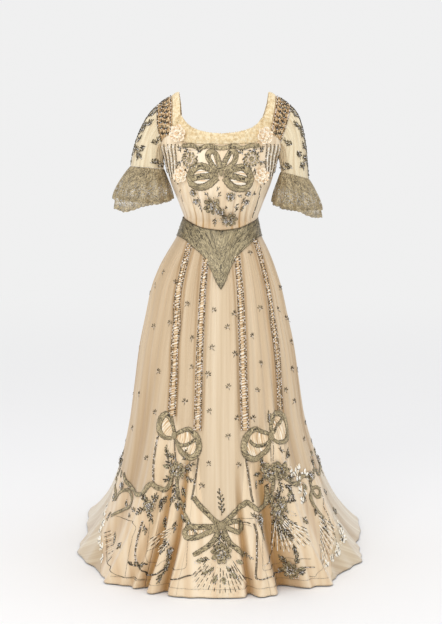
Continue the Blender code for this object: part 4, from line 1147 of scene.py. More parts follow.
HEM_BOW = (
    ("hem_bow_right", 0.0075, ((-0.004, 0.204), (-0.028, 0.196), (-0.056, 0.196), (-0.086, 0.194),
                               (-0.098, 0.180), (-0.093, 0.165), (-0.069, 0.167), (-0.040, 0.178),
                               (-0.008, 0.194))),
    ("hem_bow_left", 0.0068, ((0.006, 0.202), (0.032, 0.210), (0.050, 0.209), (0.054, 0.192), (0.049, 0.180),
                              (0.032, 0.187), (0.010, 0.196))),
    ("hem_tail_right", 0.0072, ((-0.007, 0.192), (-0.015, 0.168), (-0.031, 0.147), (-0.055, 0.131),
                                (-0.076, 0.119))),
    ("hem_tail_left", 0.0072, ((0.007, 0.192), (0.015, 0.170), (0.027, 0.150), (0.045, 0.135),
                               (0.063, 0.110))),
)
GARLANDS = (
    ("garland_right", 0.0070, ((-0.279, 0.298), (-0.269, 0.277), (-0.253, 0.266), (-0.235, 0.257),
                               (-0.218, 0.271), (-0.207, 0.287), (-0.193, 0.298), (-0.177, 0.289),
                               (-0.159, 0.285), (-0.144, 0.296), (-0.133, 0.318))),
    ("garland_middle_right", 0.0070, ((-0.075, 0.275), (-0.061, 0.257), (-0.048, 0.243), (-0.032, 0.227),
                                      (-0.014, 0.211), (-0.003, 0.205))),
    ("garland_middle_left", 0.0070, ((0.003, 0.205), (0.022, 0.220), (0.040, 0.237), (0.058, 0.253),
                                     (0.071, 0.261), (0.086, 0.250), (0.104, 0.236), (0.119, 0.241),
                                     (0.126, 0.266), (0.126, 0.294))),
    ("garland_left", 0.0070, ((0.176, 0.330), (0.182, 0.314), (0.196, 0.297), (0.214, 0.288), (0.224, 0.300),
                              (0.235, 0.304), (0.247, 0.297), (0.255, 0.285))),
)

for name, half_width, path in BODICE_BOW:
    tape(name + "_tape", bodice_ground, on_cloth(bodice_ground, path), half_width, [name])
for number, (name, half_width, path) in enumerate(SKIRT_BOWS + HEM_BOW + GARLANDS):
    tape(name + "_tape", skirt_ground, on_cloth(skirt_ground, path), half_width, [name],
         0.0010 + 0.0003 * (number % 3), ends=0.25 if "tail" in name else 0.0,
         swell=0.62 if name.startswith("skirt_bow") else 0.0)

# %% Knots
# Columns: name, ground, x, height, half width and half height.
KNOTS = (
    ("bodice_bow_knot", bodice_ground, 0.000, 1.157, 0.0070, 0.0080),
    ("skirt_bow_right_knot", skirt_ground, -0.128, 0.437, 0.0095, 0.0110),
    ("skirt_bow_left_knot", skirt_ground, 0.139, 0.432, 0.0095, 0.0110),
    ("hem_bow_knot", skirt_ground, 0.001, 0.199, 0.0120, 0.0095),
)


def laid_out(points, place, size=1.0):
    """Points given as right, up and out, moved to a place on the cloth."""
    origin, right, up, normal = place[:4]
    return origin + size * (points[:, :1] * right + points[:, 1:2] * up + points[:, 2:3] * normal)


def place_at(ground, bearing, height):
    return [part[0] for part in spots(ground, np.array([bearing]), np.array([height]))]


for name, ground, x, height, half_width, half_height in KNOTS:
    bpy.ops.mesh.primitive_uv_sphere_add(segments=24, ring_count=14, radius=1.0, location=(0, 0, 0))
    made = bpy.context.object
    made.name = made.data.name = name + "_lace"
    ball = np.array([vertex.co for vertex in made.data.vertices])
    pinch = 0.80 + 0.20 * np.abs(ball[:, 1]) ** 1.5
    crease = 1 + 0.10 * np.sin(9 * ball[:, 0] + 2 * ball[:, 1])
    ball = ball * np.stack([half_width * pinch, half_height + 0 * pinch, 0.0042 * crease], -1)
    place = place_at(ground, bearing_of(ground, x, height).item(), height)
    ball[:, 2] += 0.0042
    made.data.vertices.foreach_set("co", laid_out(ball, place).astype(np.float32).ravel())
    made.data.materials.append(TAPE_LACE)
    soften_edges(made)
    trim(made, [name])

# %% [markdown]
# ### Satin inside the loops
# Pleated satin fills the loops of the bows, and the lace tape covers its raw edge. Its colour has painted light
# and shade: white painted highlights where light would catch the pleats as slits, and tan painted shade
# between them. An inner curve of narrower tape parts each broad loop in two.

# %% Satin insets and inner curves
def pleat_light_finish(name, scale, stops):
    recipe = Recipe(name, Roughness=0.30)
    # Noise stripes paint shade in the pleat hollows and white highlights on the pleats.
    pleats = recipe.noise(recipe.uv(scale), 1.0, detail=2.0, roughness=0.6)
    recipe.to("Base Color", recipe.ramp(pleats, stops))
    return recipe.material


PLEATED_ACROSS = pleat_light_finish("pleated_satin", (16.0, 200.0, 1.0), (
    (0.36, (0.56, 0.36, 0.18)), (0.46, (0.78, 0.58, 0.36)), (0.56, (0.86, 0.70, 0.48)), (0.66, (1.0, 0.94, 0.82))))
PLEATED_ALONG = pleat_light_finish("satin_with_painted_highlights", (210.0, 14.0, 1.0), (
    (0.34, (0.70, 0.44, 0.24)), (0.46, (0.90, 0.72, 0.50)), (0.56, (0.96, 0.89, 0.76)), (0.66, (1.0, 0.99, 0.96))))


def inset(name, ground, path, finish, pleats):
    """Satin that fills one loop of tape, from the knot to the loop's far end."""
    def surface(u, v):
        near, far = along(path, 0.02 + 0.46 * v), along(path, 0.98 - 0.46 * v)
        place = near + (far - near) * u[..., None]
        point, _, _, normal, _ = spots(ground, place[..., 0], place[..., 1])
        wave = np.sin(2 * math.pi * pleats * (v if finish is PLEATED_ACROSS else u) + 1.5 * u)
        return point + normal * (0.0006 + 0.0004 * wave)[..., None] + np.array([0, 0, SHOULDER_HEIGHT])
    made = sheet(name, surface, 24, 36, finish, turned=True, wall=0)
    width, length, area = made["cut"]
    declare(made, (), (width, length, area))


def facing_out(made, ground):
    """Turns a sheet's faces round if they look into the dress."""
    face = made.data.polygons[len(made.data.polygons) // 2]
    centre = face.center + Vector((0, 0, 0))
    away = Vector((centre.x, centre.y, 0.0))
    if face.normal.dot(away) < 0:
        made.data.flip_normals()


for name, half_width, path in BODICE_BOW:
    inset(name + "_satin", bodice_ground, on_cloth(bodice_ground, path), PLEATED_ALONG, 3)
    facing_out(bpy.data.objects[name + "_satin"], bodice_ground)
for name, half_width, path in SKIRT_BOWS + HEM_BOW[:2]:
    inset(name + "_satin", skirt_ground, on_cloth(skirt_ground, path), PLEATED_ACROSS, 11)
    facing_out(bpy.data.objects[name + "_satin"], skirt_ground)

INNER_CURVES = (
    ("bodice_bow_inner_right", bodice_ground, 0.0084, ((-0.008, 1.155), (-0.034, 1.150), (-0.058, 1.148),
                                                       (-0.080, 1.142))),
    ("bodice_bow_inner_left", bodice_ground, 0.0084, ((0.008, 1.155), (0.034, 1.149), (0.057, 1.143),
                                                      (0.076, 1.136))),
    ("skirt_bow_inner_right", skirt_ground, 0.0050, ((-0.122, 0.420), (-0.109, 0.413), (-0.090, 0.416),
                                                     (-0.072, 0.430))),
    ("skirt_bow_inner_left", skirt_ground, 0.0050, ((0.078, 0.427), (0.089, 0.414), (0.104, 0.408),
                                                    (0.122, 0.412), (0.134, 0.424))),
    ("skirt_bow_inner_upper_left", skirt_ground, 0.0050, ((0.170, 0.482), (0.163, 0.466), (0.150, 0.452),
                                                          (0.143, 0.442))),
)
for name, ground, half_width, path in INNER_CURVES:
    tape(name + "_tape", ground, on_cloth(ground, path), half_width, lift=0.0014)

# %% [markdown]
# ### Tapes at the sides and round the back
# The garland goes on behind in even swags, each about as wide as a hand. At both sides it passes through a
# loose bow. From the photo only the front can be followed, so the back repeats what the sides show.

# %% More tape
NECK_TAPE = [(bearing, float(edge_height(TOP_EDGE, bearing)) - 0.0078 - 0.0026 * math.cos(bearing / 2.6))
             for bearing in np.arange(-34.0, 34.5, 1.0)]
tape("neckline_tape", bodice_ground, NECK_TAPE, 0.0064, lift=0.0014)

SIDE_TAPES = (
    ("side_bow_right", 0.0062, ((-0.285, 0.345), (-0.300, 0.290), (-0.309, 0.240), (-0.308, 0.212),
                                (-0.296, 0.234), (-0.281, 0.250), (-0.262, 0.254), (-0.252, 0.240),
                                (-0.258, 0.215), (-0.276, 0.198), (-0.300, 0.181), (-0.320, 0.163))),
    ("side_bow_left", 0.0062, ((0.266, 0.345), (0.268, 0.318), (0.262, 0.292), (0.256, 0.268), (0.266, 0.243),
                               (0.280, 0.232), (0.284, 0.250), (0.270, 0.262), (0.256, 0.246),
                               (0.262, 0.220), (0.278, 0.194), (0.296, 0.168))),
    ("flower_tail_right", 0.0046, ((-0.121, 0.322), (-0.120, 0.290), (-0.113, 0.260), (-0.100, 0.232),
                                   (-0.088, 0.208))),
    ("flower_tail_left", 0.0044, ((0.146, 0.322), (0.142, 0.290), (0.141, 0.262), (0.142, 0.236))),
)
for name, half_width, path in SIDE_TAPES:
    tape(name + "_tape", skirt_ground, on_cloth(skirt_ground, path), half_width, lift=0.0013)
for label, side in (("right", -1), ("left", 1)):
    for number, (start, end) in enumerate(((74, 127), (127, 180))):
        swag = [(side * turn, 0.300 - 0.030 * abs(math.sin(math.pi * (turn - 74) / SWAG_TURN)))
                for turn in np.linspace(start, end, 24)]
        tape(f"garland_back_{label}_{number + 1}_tape", skirt_ground, swag, 0.0080, lift=0.0012)

# %% [markdown]
# ## Beads, leaves and petals
# Three small motifs make all the rest: a round bead, a pointed leaf cut from sequins and a cupped petal.
# Each is modelled once and then sewn on many times. A row says where one goes: its place on the cloth, a
# shift to the right and up in metres, its angle, its size and how far it stands up.

# %% Motifs
def put_away(made):
    """The points and triangles of a motif, taken out of the scene."""
    made.data.calc_loop_triangles()
    points = np.array([vertex.co for vertex in made.data.vertices])
    triangles = np.array([tuple(face.vertices) for face in made.data.loop_triangles])
    bpy.data.objects.remove(made, do_unlink=True)
    return points, triangles


def ball(segments, rings):
    bpy.ops.mesh.primitive_uv_sphere_add(segments=segments, ring_count=rings, radius=1.0, location=(0, 0, 0))
    return put_away(bpy.context.object)


bpy.ops.mesh.primitive_ico_sphere_add(subdivisions=1, radius=0.5, location=(0, 0, 0))
BEAD = put_away(bpy.context.object)
points, triangles = ball(6, 3)
LEAF_SHAPE = (np.stack([0.5 + 0.5 * points[:, 2], 0.5 * points[:, 0], 0.5 * points[:, 1]], -1), triangles)
points, triangles = ball(10, 6)
far_out = (points[:, 0] + 1) / 2
PETAL_SHAPE = (np.stack([far_out, 0.5 * points[:, 1] * (0.62 + 0.38 * far_out),
                         0.10 * points[:, 2] + 0.34 * (far_out ** 2 + points[:, 1] ** 2 * 0.5)], -1), triangles)


def row(a, b, right=0.0, up=0.0, angle=0.0, length=0.003, width=None, thick=None, lift=None, kind=0, tilt=0.0):
    """One motif: its place, shift, angle, size, lift, finish and how far it leans out."""
    width = length if width is None else width
    thick = width * 0.5 if thick is None else thick
    return (a, b, right, up, angle, length, width, thick, thick * 0.4 if lift is None else lift, kind, tilt)


def sew(name, motif, ground, rows, finishes, nodes=(), turn=1, rise=1, reach=(0.12, 0.004),
        rim=0.0, lowest=0.007):
    """Joins many copies of a motif to one piece, each on its own place of the cloth."""
    table = np.array(rows, float)
    steps = spots(ground, table[:, 0], table[:, 1], reach, turn, rise)[4]
    a = table[:, 0] + turn * table[:, 2] / steps[:, 0]
    b = np.clip(table[:, 1] + rise * table[:, 3] / steps[:, 1], lowest, None)
    origin, right, up, normal, _ = spots(ground, a, b, reach, turn, rise)
    angle, lean = np.radians(table[:, 4:5]), np.radians(table[:, 10:11])
    flat = np.cos(angle) * right + np.sin(angle) * up
    across = -np.sin(angle) * right + np.cos(angle) * up
    forward = np.cos(lean) * flat + np.sin(lean) * normal
    outward = np.cos(lean) * normal - np.sin(lean) * flat
    shape, triangles = motif
    size = table[:, 5:8]
    parts = [shape[None, :, i:i + 1] * size[:, None, i:i + 1] for i in range(3)]
    points = (origin + normal * table[:, 8:9])[:, None, :] + parts[0] * forward[:, None, :]
    points = points + parts[1] * across[:, None, :] + parts[2] * outward[:, None, :]
    count = len(table)
    faces = (triangles[None] + (np.arange(count) * len(shape))[:, None, None]).reshape(-1, 3)
    offset = np.random.default_rng(count).uniform(0, 0.5, (count, 1, 2))
    uv = np.concatenate([parts[0], parts[1]], -1) + offset
    made = put_in_scene(name, points.reshape(-1, 3), faces, finishes[0], uv.reshape(-1, 2))
    for finish in finishes[1:]:
        made.data.materials.append(finish)
    kinds = np.repeat(table[:, 9].astype(int), len(triangles))
    if rim:
        middle = shape[triangles].mean(axis=1)
        edge = (2 * middle[:, 0] - 1) ** 2 + (2 * middle[:, 1]) ** 2 > rim
        kinds = kinds + np.tile(edge.astype(int), count)
    made.data.polygons.foreach_set("material_index", kinds.astype(np.int32))
    trim(made, nodes)
    return made


# %% [markdown]
# ### Patterns from motifs
# A sprig is five short leaves over a stem. A spray is a stem with pairs of leaves. A blossom is two rings of
# petals round a cluster of beads. Lines are stitched by walking along the cloth in even steps.

# %% Patterns
chance = np.random.default_rng(17)


def dashes(ground, path, dash, gap, width, kind=0):
    """Short leaves end to end along a line on the cloth."""
    line = paced(ground, path, dash + gap)
    point, right, up, _, _ = spots(ground, line[:, 0], line[:, 1])
    way = unit(np.gradient(point, axis=0))
    angles = np.degrees(np.arctan2(np.sum(way * up, -1), np.sum(way * right, -1)))
    return [row(a, b, angle=angle, length=dash, width=width, kind=kind)
            for (a, b), angle in zip(line[:-1], angles)]


def beads(ground, path, size, gap, silver=0.3, abreast=1):
    """Beads along a line on the cloth, in one or more rows."""
    found = []
    for a, b in paced(ground, path, size + gap):
        for place in range(abreast):
            shift = (place - (abreast - 1) / 2) * size * 1.05
            found.append(row(a, b, right=shift, length=size, width=size, thick=size,
                             kind=int(chance.random() < silver)))
    return found


def sprig(a, b, size, lean=0.0):
    """A star-like sprig: leaves that fan out over a stem."""
    leaves, small = [], []
    for spread, reach in ((-78, 0.42), (-38, 0.52), (0, 0.50), (38, 0.52), (78, 0.42)):
        angle = 90 + lean + spread + chance.uniform(-9, 9)
        start = 0.14 * size
        leaves.append(row(a, b, start * math.cos(math.radians(angle)), start * math.sin(math.radians(angle)),
                          angle, size * reach, size * 0.17, size * 0.07, kind=int(chance.random() < 0.45)))
    leaves.append(row(a, b, 0, 0, lean - 90 + chance.uniform(-12, 12), size * 0.62, size * 0.09, size * 0.05,
                      kind=1))
    for angle in (60, 150, 280):
        small.append(row(a, b, 0.10 * size * math.cos(angle), 0.10 * size * math.sin(angle), length=size * 0.13,
                         thick=size * 0.13, kind=1))
    return leaves, small


def leaf_row(a, b, right, up, angle, length, kind):
    """A sequin leaf with a light heart on top."""
    way = math.cos(math.radians(angle)), math.sin(math.radians(angle))
    return [row(a, b, right, up, angle, length, length * 0.42, length * 0.12, kind=kind),
            row(a, b, right + 0.24 * length * way[0], up + 0.24 * length * way[1], angle, length * 0.55,
                length * 0.19, length * 0.12, lift=length * 0.08, kind=2)]


def spray(a, b, length, angle, pairs=4, leaf=0.011, spread=40):
    """A bent stem with leaves to both sides by turns, and silver beads where they start."""
    bend, count = chance.uniform(-26, 26), 2 * pairs + 1
    right = up = 0.0
    found = []
    for number in range(count):
        way = angle + bend * number / count
        step = length / count
        found.append(row(a, b, right, up, way, step * 1.3, 0.0018, 0.0014, kind=1))
        right, up = right + step * math.cos(math.radians(way)), up + step * math.sin(math.radians(way))
        side = 0 if number == count - 1 else (-1, 1)[number % 2]
        size = leaf * (1.35 - 0.45 * number / count) * chance.uniform(0.80, 1.15)
        found += leaf_row(a, b, right, up, way + side * (spread + chance.uniform(-14, 14)), size,
                          int(chance.random() < 0.55))
        if chance.random() < 0.5:
            found.append(row(a, b, right, up, 0, 0.0030, 0.0030, 0.0026, kind=3))
    return found


def broad_leaf(a, b, length, angle):
    """A broad leaf of lace with a dark vein, edged with silver beads."""
    way, across = math.radians(angle), math.radians(angle + 90)
    found = [row(a, b, 0, 0, angle, length, length * 0.54, length * 0.10, kind=0),
             row(a, b, 0, 0, angle, length * 0.96, length * 0.46, length * 0.10, lift=0.0014, kind=2),
             row(a, b, 0, 0, angle, length * 0.95, 0.0013, 0.0012, lift=0.0026, kind=1)]
    for share in np.linspace(0.1, 0.95, 6):
        half = 0.25 * length * math.sin(math.pi * share)
        for side in (-half, half):
            found.append(row(a, b, share * length * math.cos(way) + side * math.cos(across),
                             share * length * math.sin(way) + side * math.sin(across), 0, 0.0026, 0.0026, 0.0024,
                             kind=3 if chance.random() < 0.7 else 1))
    return found


def blossom(a, b, radius, petals=7, lean=0.0, heart=0.3, rim=0.8):
    """Two rings of lace petals, a heart of beads and a bead in front of every petal's edge."""
    rings, small = [], []
    for layer, (share, count, tilt) in enumerate(((1.0, petals, 6), (0.66, petals - 1, 20))):
        for number in range(count):
            angle = math.radians(lean + 360 * (number + 0.5 * layer) / count + chance.uniform(-6, 6))
            start = radius * 0.14
            rings.append(row(a, b, start * math.cos(angle), start * math.sin(angle), math.degrees(angle),
                             radius * share * 0.86, radius * share * 4.6 / petals, radius * 0.30,
                             lift=0.0012 + 0.0012 * layer, tilt=tilt))
            for spread, silver in ((-0.24, 0.5), (0.0, 0.7), (0.24, 0.5)):
                if chance.random() > rim:
                    continue
                reach, turn = radius * share * (0.98 - abs(spread) * 0.4), angle + spread
                small.append(row(a, b, reach * math.cos(turn), reach * math.sin(turn), length=0.0030, thick=0.0028,
                                 lift=0.0016 + 0.13 * radius * (1 - layer) + 0.0018 * layer,
                                 kind=int(chance.random() < silver)))
    for number in range(int(14 + 900 * radius)):
        angle, reach = chance.uniform(0, 360), radius * heart * math.sqrt(chance.random()) * 1.3
        small.append(row(a, b, reach * math.cos(math.radians(angle)), reach * math.sin(math.radians(angle)),
                         length=0.0030, thick=0.0030, lift=0.0042 + 0.10 * radius, kind=int(chance.random() < 0.80)))
    return rings, small


def wreath(a, b, radius):
    """A ring of dark leaves, a ring of silver beads inside it and a disc of lace petals in the middle."""
    leaves, rings, small = [], [], []
    for number in range(11):
        angle = 2 * math.pi * number / 11
        leaves += leaf_row(a, b, 0.80 * radius * math.cos(angle), 0.80 * radius * math.sin(angle),
                           math.degrees(angle) + 62 + chance.uniform(-15, 15), radius * 0.55, number % 2)
        rings.append(row(a, b, 0.52 * radius * math.cos(angle), 0.52 * radius * math.sin(angle), math.degrees(angle),
                         radius * 0.46, radius * 0.34, radius * 0.16, lift=0.0010, tilt=4))
    for number in range(7):
        angle = 2 * math.pi * number / 7
        rings.append(row(a, b, 0, 0, math.degrees(angle), radius * 0.36, radius * 0.28, radius * 0.16, lift=0.0014,
                         tilt=10))
    for number in range(26):
        angle, reach = 2 * math.pi * number / 26, radius * (0.50 if number % 2 else 0.98)
        small.append(row(a, b, reach * math.cos(angle), reach * math.sin(angle), length=0.0034, thick=0.0030,
                         lift=0.0024, kind=int(chance.random() < 0.8)))
    return leaves, rings, small


def fan(ground, starts, ends, count, cord):
    """Stitched rays from one line to another: pale cords, and thin dark dashes between them."""
    found = []
    for number, share in enumerate(np.linspace(0, 1, 2 * count - 1)):
        start, end = along(starts, np.array([share]))[0], along(ends, np.array([share]))[0]
        pale = number % 2
        near, far = (0.0, 0.96) if pale else (chance.uniform(0.0, 0.30), chance.uniform(0.90, 1.0))
        start, end = start + (end - start) * near, start + (end - start) * far
        path = on_cloth(ground, [start, (start + end) / 2, end])
        if pale:
            found += dashes(ground, path, 0.0220, -0.0060, 0.0034, kind=cord)
        else:
            found += dashes(ground, path, chance.uniform(0.0130, 0.0240), 0.0030, 0.0024, kind=1)
    return found

# %% [markdown]
# ### Beads along the insertion bands
# Two columns of small beads edge each side of a band. Dark and silver ones take turns, not quite evenly, so
# that from a step away they glitter.

# %% Band beads
STONE = 0.0052
band_beads, band_edges = [], []
for entry in INSERTION_BANDS:
    count = int((entry[2] - entry[3]) / STONE)
    for side in (0.16, 0.84):
        bearings, heights = band_place(entry, np.full(count, side), (np.arange(count) + 0.5) / count)
        for number, (a, b) in enumerate(zip(bearings, heights)):
            if b > edge_height(BELT_LOWER, a) + 0.003:
                continue
            for abreast in (0, 1):
                kind = (number + abreast) % 2 if chance.random() < 0.55 else int(chance.random() < 0.25)
                band_beads.append(row(a, b, (2 * abreast - 1) * 0.0019, chance.uniform(-0.0005, 0.0005),
                                      length=0.0037, thick=0.0030, lift=0.0034, kind=kind))
sew("insertion_band_beads", BEAD, skirt_ground, band_beads, [BRONZE, SILVER])

# %% [markdown]
# ### Sprigs on the chiffon
# The sprigs stand in offset rows, about a hand apart. In front they have the places that the photo shows,
# and the same spacing goes on round the sides and the back.

# %% Skirt sprigs
FRONT_SPRIGS = (
    (-0.164, 0.879), (-0.188, 0.840), (-0.189, 0.727), (-0.143, 0.742), (-0.081, 0.703), (-0.081, 0.625),
    (-0.175, 0.607), (-0.183, 0.493), (-0.099, 0.531), (-0.021, 0.781), (0.019, 0.735), (-0.025, 0.679),
    (-0.036, 0.607), (0.021, 0.574), (-0.031, 0.507), (0.038, 0.662), (0.038, 0.771), (0.087, 0.709),
    (0.111, 0.633), (0.099, 0.560), (0.109, 0.783), (0.160, 0.774), (0.200, 0.678), (0.203, 0.604),
    (0.182, 0.550), (0.207, 0.515), (0.186, 0.746), (0.168, 0.831), (0.082, 0.935), (-0.095, 0.796),
    (-0.130, 0.854), (-0.253, 0.432), (-0.208, 0.362), (-0.233, 0.534), (0.020, 0.439), (-0.034, 0.365),
    (0.048, 0.362), (-0.054, 0.306), (0.089, 0.485), (0.045, 0.489), (0.240, 0.400), (0.268, 0.335),
)
leaves, small = [], []
places = list(on_cloth(skirt_ground, FRONT_SPRIGS))
for number, height in enumerate(np.arange(0.90, 0.34, -0.078)):
    around = 0.5 * np.pi * (0.18 + 0.55 * (0.9 - height))
    turns = max(3, int(around * 2 / 0.115))
    for place in range(turns):
        turn = 84 + (277 - 84) * (place + 0.25 + 0.5 * (number % 2)) / turns
        places.append(np.array([turn if turn < 180 else turn - 360, height + chance.uniform(-0.012, 0.012)]))
for bearing, height in places:
    more_leaves, more_beads = sprig(bearing, height, chance.uniform(0.0155, 0.0185), chance.uniform(-50, 50))
    leaves += more_leaves
    small += more_beads
sew("skirt_sprig_leaves", LEAF_SHAPE, skirt_ground, leaves, [LEAF, BRONZE])
sew("skirt_sprig_beads", BEAD, skirt_ground, small, [BRONZE, SILVER])

# %% [markdown]
# ### The hem's embroidery
# Below the garland the satin carries blossoms of lace with hearts of silver beads, leafy sprays, stitched
# rays that fan out over the front, and lines of dark beads that frame it all. Lists hold the places seen in
# front; the sides and the back get a plainer repeat under every swag.

# %% Hem lists
BLOSSOMS = (
    (-0.121, 0.343, 0.023, 8), (0.138, 0.336, 0.024, 7), (0.164, 0.338, 0.024, 7), (0.000, 0.126, 0.026, 9),
    (0.196, 0.056, 0.024, 8), (0.164, 0.242, 0.020, 7), (0.160, 0.222, 0.015, 6), (0.106, 0.209, 0.015, 6),
    (-0.200, 0.234, 0.016, 6), (-0.142, 0.122, 0.010, 5),
    (0.255, 0.300, 0.011, 5), (-0.285, 0.262, 0.011, 5),
)
# Columns: x, height, length, angle, pairs of leaves, leaf length.
SPRAYS = (
    (-0.150, 0.372, 0.026, 110, 3, 0.012), (-0.108, 0.372, 0.026, 60, 3, 0.012), (-0.096, 0.358, 0.022, 20, 2, 0.011),
    (-0.108, 0.300, 0.030, -50, 3, 0.012), (-0.130, 0.276, 0.030, -105, 3, 0.012), (-0.098, 0.262, 0.026, -80, 3, 0.011),
    (0.118, 0.360, 0.026, 130, 3, 0.012), (0.180, 0.364, 0.028, 40, 3, 0.012), (0.120, 0.318, 0.024, 210, 3, 0.011),
    (0.186, 0.318, 0.026, -20, 3, 0.012), (0.140, 0.280, 0.030, -100, 3, 0.012), (0.152, 0.278, 0.030, -80, 3, 0.012),
    (0.264, 0.320, 0.024, 60, 3, 0.011), (0.276, 0.290, 0.024, -30, 3, 0.011), (0.270, 0.214, 0.026, -110, 3, 0.011),
    (-0.296, 0.300, 0.024, 80, 3, 0.011), (-0.270, 0.228, 0.024, -60, 2, 0.011), (-0.318, 0.200, 0.024, 110, 3, 0.011),
    (-0.124, 0.370, 0.030, 150, 3, 0.013), (-0.130, 0.322, 0.030, 195, 3, 0.014), (-0.104, 0.345, 0.026, 10, 3, 0.012),
    (-0.098, 0.330, 0.028, -30, 3, 0.011), (-0.124, 0.310, 0.040, -95, 4, 0.012), (-0.134, 0.345, 0.022, 120, 2, 0.012),
    (-0.191, 0.245, 0.024, 75, 3, 0.011), (-0.208, 0.243, 0.024, 130, 3, 0.011), (-0.197, 0.222, 0.030, -80, 3, 0.011),
    (-0.214, 0.225, 0.026, -150, 3, 0.010), (-0.165, 0.262, 0.030, -70, 4, 0.012), (-0.154, 0.212, 0.055, -80, 6, 0.012),
    (-0.144, 0.158, 0.045, -100, 5, 0.011), (-0.142, 0.118, 0.034, -80, 4, 0.012), (-0.143, 0.092, 0.030, -100, 4, 0.013),
    (-0.158, 0.060, 0.024, -120, 2, 0.014), (-0.236, 0.062, 0.034, 25, 4, 0.011), (-0.230, 0.060, 0.030, 165, 3, 0.011),
    (-0.214, 0.183, 0.024, -60, 2, 0.010), (-0.306, 0.126, 0.045, -38, 5, 0.010), (-0.283, 0.114, 0.020, -100, 3, 0.010),
    (-0.338, 0.146, 0.026, 60, 3, 0.011), (-0.121, 0.232, 0.022, 100, 3, 0.010), (-0.112, 0.222, 0.030, -30, 4, 0.012),
    (-0.092, 0.222, 0.026, -75, 4, 0.012), (-0.078, 0.204, 0.024, -60, 3, 0.012), (-0.123, 0.206, 0.026, -100, 3, 0.010),
    (0.153, 0.232, 0.052, -100, 6, 0.013), (0.163, 0.196, 0.052, -95, 6, 0.013), (0.172, 0.180, 0.040, -75, 5, 0.012),
    (0.178, 0.250, 0.045, 12, 5, 0.011), (0.160, 0.254, 0.028, 80, 3, 0.012), (0.146, 0.246, 0.022, 140, 3, 0.012),
    (0.168, 0.215, 0.045, -45, 5, 0.011), (0.200, 0.130, 0.030, -85, 4, 0.012), (0.206, 0.074, 0.024, 40, 3, 0.011),
    (0.184, 0.074, 0.022, 130, 3, 0.011), (0.214, 0.048, 0.026, 0, 3, 0.010), (0.110, 0.196, 0.036, -80, 4, 0.011),
    (0.098, 0.214, 0.018, 120, 2, 0.009), (0.222, 0.250, 0.030, -40, 3, 0.011), (0.229, 0.196, 0.026, -60, 3, 0.011),
    (0.285, 0.176, 0.030, -60, 3, 0.012), (0.292, 0.146, 0.024, -50, 3, 0.011), (0.318, 0.196, 0.026, 100, 3, 0.010),
    (0.354, 0.124, 0.030, 100, 4, 0.013), (0.356, 0.106, 0.026, 20, 3, 0.014), (0.352, 0.108, 0.030, -110, 4, 0.012),
    (0.062, 0.124, 0.022, -50, 3, 0.008), (-0.030, 0.108, 0.026, 190, 3, 0.011), (0.024, 0.074, 0.032, -52, 4, 0.010),
    (0.016, 0.086, 0.018, -30, 2, 0.009), (0.160, 0.310, 0.028, -75, 3, 0.011), (0.174, 0.300, 0.030, -40, 4, 0.010),
    (0.132, 0.304, 0.026, -120, 3, 0.011), (0.200, 0.262, 0.034, 100, 4, 0.010), (0.236, 0.270, 0.030, -120, 4, 0.010),
    (0.110, 0.330, 0.024, 170, 3, 0.010), (0.116, 0.346, 0.020, 110, 2, 0.010), (0.158, 0.400, 0.030, -30, 3, 0.009),
    (0.002, 0.226, 0.066, 90, 4, 0.012), (-0.002, 0.192, 0.046, -88, 4, 0.014), (0.006, 0.190, 0.036, -75, 2, 0.012),
    (0.136, 0.462, 0.034, 96, 4, 0.009), (-0.148, 0.270, 0.020, -110, 2, 0.010),
    (0.096, 0.318, 0.020, -100, 3, 0.008), (-0.262, 0.196, 0.020, -20, 2, 0.009), (-0.242, 0.206, 0.020, 160, 2, 0.009),
)
